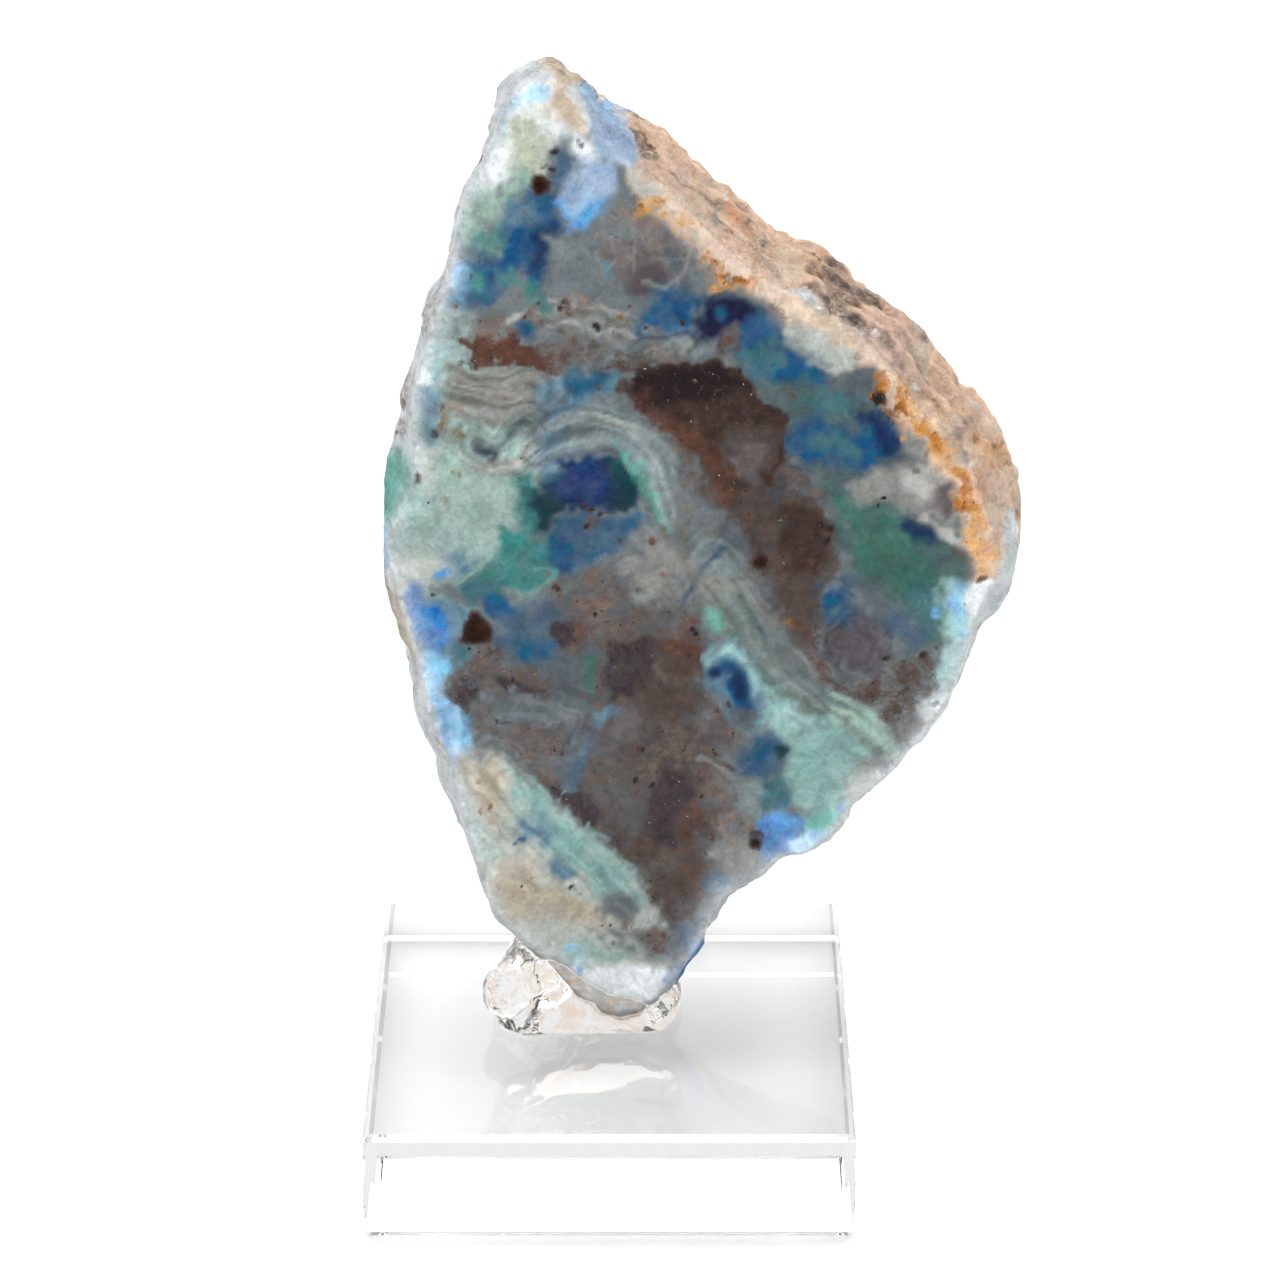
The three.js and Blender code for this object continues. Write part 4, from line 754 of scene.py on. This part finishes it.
def cloud(points, size, octaves, seed):
    """Noise of several sizes, each half the one before, from about -1 to 1."""
    layers = [value_noise(points, size / 2**n, seed + n) / 2**n for n in range(octaves)]
    return sum(layers) / sum(1 / 2**n for n in range(octaves))


def line_distance(uw, line):
    """Distance from each point to a line through the given points."""
    nearest = np.full(len(uw), np.inf)
    for a, b in zip(line[:-1], line[1:]):
        a, b = np.array(a), np.array(b)
        along = np.clip((uw - a) @ (b - a) / ((b - a) @ (b - a)), 0, 1)
        nearest = np.minimum(nearest, np.linalg.norm(uw - a - along[:, None] * (b - a), axis=1))
    return nearest


def depth_inside(uw, outline):
    """Distance from each point to a closed outline, positive inside it."""
    closed = outline + outline[:1]
    inside = np.zeros(len(uw), bool)
    for (u0, w0), (u1, w1) in zip(closed[:-1], closed[1:]):
        crosses = (w0 > uw[:, 1]) != (w1 > uw[:, 1])
        span = (w1 - w0) if w1 != w0 else 1
        inside ^= crosses & (uw[:, 0] < u0 + (u1 - u0) * (uw[:, 1] - w0) / span)
    return np.where(inside, 1, -1) * line_distance(uw, closed)


# Painting.


def linear(name):
    """A seen colour in linear light."""
    s = np.array(SEEN[name], float) / 255
    return np.where(s <= 0.04045, s / 12.92, ((s + 0.055) / 1.055) ** 2.4)


def albedo(seen):
    """The surface colour that looks like the seen one in this light."""
    plain = np.clip((seen - GLOSS_VEIL) / LIGHT_ON_FACE, DARKEST, None)
    return plain / np.maximum(1, plain.max(axis=-1, keepdims=True) / BRIGHTEST)


def mixed(first, second, share):
    """Colours that go from the first to the second by a share for each point."""
    return first + share[:, None] * (second - first)


class Canvas:
    """Soft colours with granular minerals over them, painted on points given as u, w."""

    def __init__(self, uw, ragged):
        self.uw = uw
        self.ragged = ragged
        self.ground = np.zeros((len(uw), 3))
        self.grain = np.tile(linear("umber"), (len(uw), 1))
        self.share = np.zeros(len(uw))

    def lay(self, name, cover):
        """Paints a mineral where cover is above 0."""
        wanted = GRAINS.get(name, 0)
        layer = self.grain if wanted else self.ground
        layer += cover[:, None] * (linear(name) - layer)
        self.share += cover * (wanted - self.share)

    def lay_inside(self, name, inside, softness, strength=1.0):
        """Paints a mineral where inside is above 0, with a soft edge that many mm wide."""
        self.lay(name, strength * smoothstep(-softness / 2, softness / 2, inside))

    def patches(self, patches, spread=1.0):
        for name, softness, outline in patches:
            blur = softness * (1 if name in GRAINS else spread)
            inside = depth_inside(self.uw, path(outline)) + PATCH_RAGGED * blur * self.ragged
            self.lay_inside(name, inside, blur)

    def veins(self, veins):
        for name, width, softness, line in veins:
            cover = GRAIN_VEIN_COVER if name in GRAINS else SOFT_VEIN_COVER
            inside = width * (0.5 + VEIN_RAGGED * self.ragged) - line_distance(self.uw, path(line))
            self.lay_inside(name, inside, softness, cover)

    def spots(self, spots):
        for name, radius, softness, middles in spots:
            for middle in path(middles):
                away = np.linalg.norm(self.uw - np.array(middle), axis=1)
                inside = radius * (1 + SPOT_RAGGED * self.ragged) - away
                self.lay_inside(name, inside, softness, SPOT_COVER)

    def growth_lines(self, lines):
        """Fine uneven bands beside guide lines, as in agate."""
        for reach, spacing, strength, guide in lines:
            away = line_distance(self.uw, path(guide))
            fade = smoothstep(0, BAND_FADE, 1 - away / reach) * strength
            across = np.column_stack([away, BAND_DRIFT * self.uw])
            wave = value_noise(across, size=spacing / 2, seed=150)
            self.ground *= (1 + 2 * fade * wave)[:, None]


def wandering(points, seed):
    """The u, w of each point, moved this way and that so that outlines look grown."""
    uw = points[:, [0, 2]].copy()
    for axis in range(2):
        uw[:, axis] += WANDER * cloud(points, size=3.2, octaves=4, seed=seed + 10 * axis)
    return uw


def paint_face(points):
    canvas = Canvas(wandering(points, seed=100), cloud(points, size=0.9, octaves=2, seed=140))
    canvas.patches(FACE_PATCHES, SOFT_SPREAD)
    canvas.veins(FACE_VEINS)
    canvas.growth_lines(GROWTH_LINES)
    canvas.spots(FACE_SPOTS)
    return canvas


def paint_rind(points, face):
    """The rind goes on from the face's colours with painted glow, and has its own minerals above right.
    """
    seen = points.copy()
    seen[:, 2] += points[:, 1] * math.tan(VIEW_RISE - LEAN)
    uw = wandering(seen, seed=200)
    stray = RIND_STRAY * smoothstep(*STRAY_DEPTHS, points[:, 1])
    for axis in range(2):
        uw[:, axis] += stray * cloud(points, size=6, octaves=4, seed=250 + 10 * axis)
    canvas = Canvas(uw, cloud(points, size=0.9, octaves=2, seed=240))
    # Frost white laid into the rind's ground is painted glow of light through the thin rind.
    canvas.ground += FACE_IN_RIND * face.ground + FROST_GLOW_IN_RIND * linear("frost")
    canvas.patches(RIND_PATCHES)
    canvas.veins(RIND_VEINS)
    canvas.spots(RIND_SPOTS)
    return canvas


def paint_back(points):
    """Blended rind colours with crusts of other minerals."""
    canvas = Canvas(points[:, [0, 2]], np.zeros(len(points)))
    canvas.lay("sand", np.ones(len(points)))
    for n, name in enumerate(BACK_COLOURS):
        area = cloud(points, size=9, octaves=4, seed=300 + 7 * n)
        canvas.lay(name, smoothstep(0, BACK_BLEND, area))
    for name, level, seed in BACK_MINERALS:
        broad = cloud(points, size=8, octaves=2, seed=300 + 7 * seed)
        fine = cloud(points, size=1.4, octaves=3, seed=310 + seed)
        crust = CRUST_PARTS[0] * broad + CRUST_PARTS[1] * fine
        canvas.lay(name, CRUST_COVER * smoothstep(level, level + CRUST_EDGE, crust))
    return canvas


# The stone's and the putty's meshes.


def to_stone():
    """From the part's frame in metres to the stone's own frame in millimetres."""
    lean = Matrix.Rotation(-LEAN, 4, "X")
    return (Matrix.Translation(FACE_FOOT) @ lean).inverted() @ Matrix.Scale(1 / MM, 4)


def get(mesh, what):
    """The place or the normal of each of the mesh's points."""
    values = np.empty(len(mesh.vertices) * 3)
    mesh.vertices.foreach_get(what, values)
    return values.reshape(-1, 3)


def remeshed(node, voxel):
    """An even mesh of a CAD node, in the stone's own frame."""
    rough = node.data.copy()
    rough.transform(to_stone() @ node.matrix_world)
    obj = bpy.data.objects.new("rough", rough)
    bpy.context.scene.collection.objects.link(obj)
    obj.modifiers.new("weld", "WELD").merge_threshold = WELD
    remesh = obj.modifiers.new("remesh", "REMESH")
    remesh.mode = "VOXEL"
    remesh.voxel_size = voxel
    remesh.use_smooth_shade = True
    depsgraph = bpy.context.evaluated_depsgraph_get()
    mesh = bpy.data.meshes.new_from_object(obj.evaluated_get(depsgraph))
    bpy.data.objects.remove(obj)
    return mesh


def split_face(mesh):
    """Halves the spacing of the points on the polished face, where the markings are."""
    points = get(mesh, "co")
    flat = (np.abs(points[:, 1]) < FACE_FLATNESS) & (get(mesh, "normal")[:, 1] < FACE_NORMAL)
    points[flat, 1] = 0
    mesh.vertices.foreach_set("co", points.ravel())
    form = bmesh.new()
    form.from_mesh(mesh)
    form.verts.ensure_lookup_table()
    edges = [e for e in form.edges if flat[e.verts[0].index] and flat[e.verts[1].index]]
    bmesh.ops.subdivide_edges(form, edges=edges, cuts=1, use_grid_fill=True)
    form.to_mesh(mesh)
    form.free()


def roughen(mesh):
    """Gives the rind its lumps, ridges, hollows and ledges. The polished face stays flat."""
    points, normals = get(mesh, "co"), get(mesh, "normal")
    u, depth, w = points.T
    rise = LUMP_HEIGHT * cloud(points, size=3.2, octaves=2, seed=400)
    rise += RIDGE_HEIGHT * (1 - 2 * np.abs(cloud(points, size=1.7, octaves=2, seed=410)))
    hollows = cloud(points, size=2.1, octaves=2, seed=420)
    rise -= HOLLOW_DEPTH * smoothstep(*HOLLOW_LEVELS, hollows)
    across = LEDGE_ACROSS[0] * u + LEDGE_ACROSS[1] * w
    across += LEDGE_STRAY * cloud(points, size=6, octaves=2, seed=430)
    rise += LEDGE_HEIGHT * np.sin(2 * math.pi * (depth + LEDGE_SLOPE * across) / LEDGE_SPACING)
    rise *= smoothstep(*ROUGH_DEPTHS, depth)
    mesh.vertices.foreach_set("co", (points + normals * rise[:, None]).ravel())


def put_back(mesh, points, node, low_gap, high_gap):
    """Takes points to the part's frame and holds them in a CAD node's box, less gaps in mm."""
    place = to_stone().inverted()
    placed = np.array([place @ Vector(p) for p in points])
    low, high = np.array(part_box(node))
    placed = np.clip(placed, low + np.array(low_gap) * MM, high - np.array(high_gap) * MM)
    mesh.vertices.foreach_set("co", placed.ravel())


def edge_distance(points, flat, in_heart):
    """How far each point of the polished face is from the rind, in mm."""
    rind = np.flatnonzero(~flat & ~in_heart)
    tree = kdtree.KDTree(len(rind))
    for n, index in enumerate(rind):
        tree.insert(points[index], n)
    tree.balance()
    away = np.zeros(len(points))
    away[flat] = [tree.find(p)[2] for p in points[flat]]
    return away


def store(mesh, name, values):
    """Keeps a value or a colour for each point under a name that the material reads."""
    if values.ndim == 1:
        mesh.attributes.new(name, "FLOAT", "POINT").data.foreach_set("value", values)
        return
    opaque = np.column_stack([values, np.ones(len(values))])
    mesh.color_attributes.new(name, "FLOAT_COLOR", "POINT").data.foreach_set("color", opaque.ravel())


def paint_stone(mesh):
    """Paints face, rind and back, blends them into each other, and paints glow of light at thin edges."""
    points = get(mesh, "co")
    u, depth, w = points.T
    flat = depth < FACE_FLATNESS
    in_heart = depth_inside(points[:, [0, 2]], path(FACE_HEART)) > 0
    pit = ~flat & (depth < PIT_REACH) & in_heart
    face, back = paint_face(points), paint_back(points)
    rind = paint_rind(points, face)
    upper_right = smoothstep(*PEACH_BEGINS, (u + w) / math.sqrt(2))
    glow_share = 1 - PEACH_CLEARS * upper_right
    into_back = depth + BACK_STRAY * cloud(points, size=5, octaves=4, seed=500)
    behind = smoothstep(*BACK_BEGINS, into_back - PEACH_REACH * upper_right)
    # Painted glow: the face's edge and the rind beside it are painted whiter, for light shining through
    # the thin stone there; less of it up to the right.
    glow = GLOW * glow_share * np.exp(-edge_distance(points, flat, in_heart) / GLOW_WIDTH)
    rim_glow = RIM_GLOW * glow_share * np.exp(-np.clip(depth, 0, None) / RIM_GLOW_WIDTH)
    for name in ("ground", "grain"):
        front = mixed(getattr(face, name), linear("frost"), glow)
        sides = RIND_LIFT * mixed(getattr(rind, name), getattr(back, name), behind)
        sides = mixed(sides, RIND_LIFT * linear("milk"), rim_glow)
        shown = np.where(flat[:, None], front, sides)
        shown[pit] = linear("rust")
        store(mesh, name, albedo(shown))
    side_share = rind.share + behind * (back.share - rind.share)
    store(mesh, "share", np.where(flat, face.share * (1 - glow), side_share))
    store(mesh, "polish", 1 - smoothstep(*POLISH_ENDS, depth))


# Materials.


class Nodes:
    """A short way to write a material's node tree."""

    def __init__(self, name):
        self.material = bpy.data.materials.new(name)
        self.material.use_nodes = True
        self.tree = self.material.node_tree
        self.shader = self.tree.nodes["Principled BSDF"]

    def add(self, kind, **values):
        """A new node, with its inputs and settings given by name."""
        node = self.tree.nodes.new("ShaderNode" + kind)
        for name, value in values.items():
            if name in node.inputs:
                self.set(node.inputs[name], value)
            else:
                setattr(node, name, value)
        return node

    def set(self, socket, value):
        """Gives a socket a value, or links it where the value comes from another node."""
        if isinstance(value, bpy.types.NodeSocket):
            self.tree.links.new(value, socket)
        else:
            socket.default_value = value

    def attribute(self, name, output="Fac"):
        return self.add("Attribute", attribute_name=name).outputs[output]

    def noise(self, scale, detail=3, roughness=0.55, distortion=0):
        """Noise from 0 to 1 with that many features to the metre."""
        place = self.add("TexCoord").outputs["Object"]
        node = self.add("TexNoise", Vector=place, Scale=scale, Detail=detail, Roughness=roughness,
                        Distortion=distortion)
        return node.outputs["Fac"]

    def math(self, operation, a, b=0.0):
        node = self.add("Math", operation=operation)
        self.set(node.inputs[0], a)
        self.set(node.inputs[1], b)
        return node.outputs[0]

    def times(self, a, b):
        return self.math("MULTIPLY", a, b)

    def between(self, value, low, high, to_low=0.0, to_high=1.0):
        """The value, taken from the range low to high to another one."""
        node = self.add("MapRange", Value=value)
        self.set(node.inputs["From Min"], low)
        self.set(node.inputs["From Max"], high)
        self.set(node.inputs["To Min"], to_low)
        self.set(node.inputs["To Max"], to_high)
        return node.outputs[0]

    def pattern(self, name):
        """One of the fine patterns as a value."""
        noise, levels, values = PATTERNS[name]
        return self.between(self.noise(*noise), *levels, *values)

    def mix(self, share, a, b, blend="MIX"):
        """Two colours mixed. Inputs 6 and 7 and output 2 are the ones that hold colours."""
        node = self.add("Mix", data_type="RGBA", blend_type=blend)
        self.set(node.inputs["Factor"], share)
        self.set(node.inputs[6], a)
        self.set(node.inputs[7], b)
        return node.outputs[2]

    def grey(self, value):
        return self.add("CombineColor", Red=value, Green=value, Blue=value).outputs["Color"]

    def shade(self, colour, value):
        """The colour made lighter or darker by a value."""
        return self.mix(1.0, colour, self.grey(value), "MULTIPLY")

    def bump(self, height, distance, strength=1.0):
        node = self.add("Bump", Height=height, Distance=distance, Strength=strength)
        return node.outputs["Normal"]


def rgb(name):
    """A seen colour as a surface colour for a node."""
    return (*albedo(linear(name)), 1)


def soft_ground(m, polish):
    """The soft mineral colours with wisps, fibres and a milky veil."""
    ground = m.attribute("ground", "Color")
    ground = m.shade(ground, m.times(m.pattern("wisps"), m.pattern("grit")))
    ground = m.shade(ground, m.pattern("fibres"))
    ground = m.add("HueSaturation", Hue=m.pattern("hue"), Saturation=m.pattern("saturation"),
                   Color=ground).outputs["Color"]
    return m.mix(m.times(m.pattern("veil"), polish), ground, rgb("steel"))


def specked_grains(m, polish):
    """The granular minerals as small round grains, with specks of other colours in them."""
    grain = m.shade(m.attribute("grain", "Color"), m.pattern("cells"))
    orb = m.add("TexVoronoi", Vector=m.add("TexCoord").outputs["Object"], Scale=ORB_SCALE)
    grain = m.shade(grain, m.between(orb.outputs["Distance"], *ORB_LEVELS, *ORB_VALUES))
    for speck in SPECKS:
        grain = m.mix(m.times(m.pattern(speck), polish), grain, rgb(speck))
    return grain


def grain_cover(m):
    """Where grains lie: the painted share of them against noise."""
    level = m.between(m.attribute("share"), 0, 1, *GRAIN_LEVELS)
    coarse, fine = (m.times(m.noise(*noise), part) for noise, part in GRAIN_NOISES)
    margin = m.math("SUBTRACT", level, m.math("ADD", coarse, fine))
    return m.between(margin, -GRAIN_EDGE, GRAIN_EDGE)


def stone_material():
    """Soft mineral colours under grains, glossy where polished, and pitted elsewhere with painted crack
    shade.
    """
    m = Nodes("azurite_malachite")
    polish = m.attribute("polish")
    rough = m.math("SUBTRACT", 1.0, polish)
    base = m.mix(grain_cover(m), soft_ground(m, polish), specked_grains(m, polish))
    # Painted crack shade: the rough rind darker in noisy patches, a little lighter between them.
    base = m.shade(base, m.between(rough, 0, 1, 1.0, m.pattern("crack_shade")))
    m.set(m.shader.inputs["Base Color"], base)
    gloss = m.between(rough, 0, 1, m.pattern("worn"), m.pattern("matt"))
    m.set(m.shader.inputs["Roughness"], gloss)
    height = m.math("SUBTRACT", m.noise(*RELIEF_NOISE), NOISE_MEAN)
    relief = m.times(height, m.between(rough, 0, 1, POLISHED_RELIEF, 1.0))
    m.set(m.shader.inputs["Normal"], m.bump(relief, RELIEF_HEIGHT))
    m.shader.inputs["IOR"].default_value = 1.5
    m.shader.inputs["Specular IOR Level"].default_value = 0.18
    return m.material


def acrylic_material():
    """Clear cast plastic, a little duller in places from handling.

    Real acrylic's index is 1.49, but in this light that draws dark lines along the bevels.
    """
    m = Nodes("clear_acrylic")
    m.shader.inputs["Base Color"].default_value = (0.985, 0.99, 0.99, 1)
    m.shader.inputs["Transmission Weight"].default_value = 1
    m.shader.inputs["IOR"].default_value = 1.36
    m.set(m.shader.inputs["Roughness"], m.pattern("handling"))
    return m.material


def putty_material():
    """Clear putty with wisps tinted tan."""
    m = Nodes("clear_putty")
    wisp = m.math("ABSOLUTE", m.math("SUBTRACT", m.noise(*TAN_WISP_NOISE), NOISE_MEAN))
    streak = m.between(wisp, 0.0, TAN_WISP_WIDTH, 1.0, 0.0)
    m.set(m.shader.inputs["Base Color"], m.mix(m.times(streak, TAN_WISP_STRENGTH), WHITE, TAN_WISP_COLOUR))
    m.shader.inputs["Transmission Weight"].default_value = 1
    m.shader.inputs["IOR"].default_value = 1.25
    m.set(m.shader.inputs["Roughness"], m.pattern("kneading"))
    m.set(m.shader.inputs["Normal"], m.bump(m.noise(*DENT_NOISE), DENT_HEIGHT, DENT_STRENGTH))
    return m.material


# Pieces.


def new_piece(name, mesh, material):
    """An object with smooth shading, made of the mesh and in its material."""
    piece = bpy.data.objects.new(name, mesh)
    bpy.context.scene.collection.objects.link(piece)
    for polygon in mesh.polygons:
        polygon.use_smooth = True
    mesh.materials.clear()
    mesh.materials.append(material)
    return piece


def make_stone():
    mesh = remeshed(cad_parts["stone"], STONE_VOXEL)
    mesh.name = "stone_rough"
    roughen(mesh)
    split_face(mesh)
    paint_stone(mesh)
    put_back(mesh, get(mesh, "co"), "stone", low_gap=CLEARANCE, high_gap=CLEARANCE)
    stone = new_piece("azurite_malachite", mesh, stone_material())
    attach(stone, "root")
    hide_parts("stone")


def make_putty():
    """The putty pressed home: its CAD solid grown until it meets the stone, with soft dents."""
    mesh = remeshed(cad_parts["putty"], PUTTY_VOXEL)
    mesh.name = "putty_clump"
    points, normals = get(mesh, "co"), get(mesh, "normal")
    swell = PUTTY_SWELL + PUTTY_DENTS * cloud(points, size=1.6, octaves=3, seed=600)
    put_back(mesh, points + normals * swell[:, None], "putty", low_gap=(0, 0, CLEARANCE), high_gap=0)
    putty = new_piece("putty_clump", mesh, putty_material())
    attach(putty, "root")
    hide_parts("putty")


def dress_block():
    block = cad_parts["clear_block"]
    block.data.materials.clear()
    block.data.materials.append(acrylic_material())


# Stage, light and camera.


def make_stage():
    form = bmesh.new()
    bmesh.ops.create_grid(form, x_segments=8, y_segments=8, size=FLOOR_REACH)
    mesh = bpy.data.meshes.new("floor")
    form.to_mesh(mesh)
    form.free()
    floor = bpy.data.objects.new("floor", mesh)
    floor.location.z = -FLOOR_GAP
    bpy.context.scene.collection.objects.link(floor)
    m = Nodes("white_floor")
    m.set(m.shader.inputs["Base Color"], m.grey(m.pattern("floor")))
    m.shader.inputs["Roughness"].default_value = 0.9
    mesh.materials.append(m.material)


def add_softbox(name, place, size, brightness):
    """A square softbox that faces the stone, with the brightness of its surface."""
    light = bpy.data.lights.new(name, "AREA")
    light.size = size
    light.energy = brightness * math.pi * size**2
    lamp = bpy.data.objects.new(name, light)
    lamp.location = place
    lamp.rotation_euler = (VIEW_TARGET * MM - Vector(place)).to_track_quat("-Z", "Y").to_euler()
    bpy.context.scene.collection.objects.link(lamp)


def make_light():
    world = bpy.data.worlds.new("studio")
    world.use_nodes = True
    background = world.node_tree.nodes["Background"]
    background.inputs["Color"].default_value = WHITE
    background.inputs["Strength"].default_value = WORLD_STRENGTH
    bpy.context.scene.world = world
    for softbox in SOFTBOXES:
        add_softbox(*softbox)
    bpy.context.scene.view_settings.view_transform = "Standard"


def make_camera():
    back = Vector((0, -math.cos(VIEW_RISE), math.sin(VIEW_RISE)))
    data = bpy.data.cameras.new("camera")
    data.sensor_width = SENSOR
    data.lens = SENSOR * VIEW_DISTANCE / VIEW_WIDTH
    data.clip_start = 0.01
    camera = bpy.data.objects.new("camera", data)
    camera.location = (VIEW_TARGET + VIEW_DISTANCE * back) * MM
    camera.rotation_euler = (-back).to_track_quat("-Z", "Y").to_euler()
    bpy.context.scene.collection.objects.link(camera)
    bpy.context.scene.camera = camera


make_camera()
make_stage()
make_light()
make_stone()
make_putty()
dress_block()
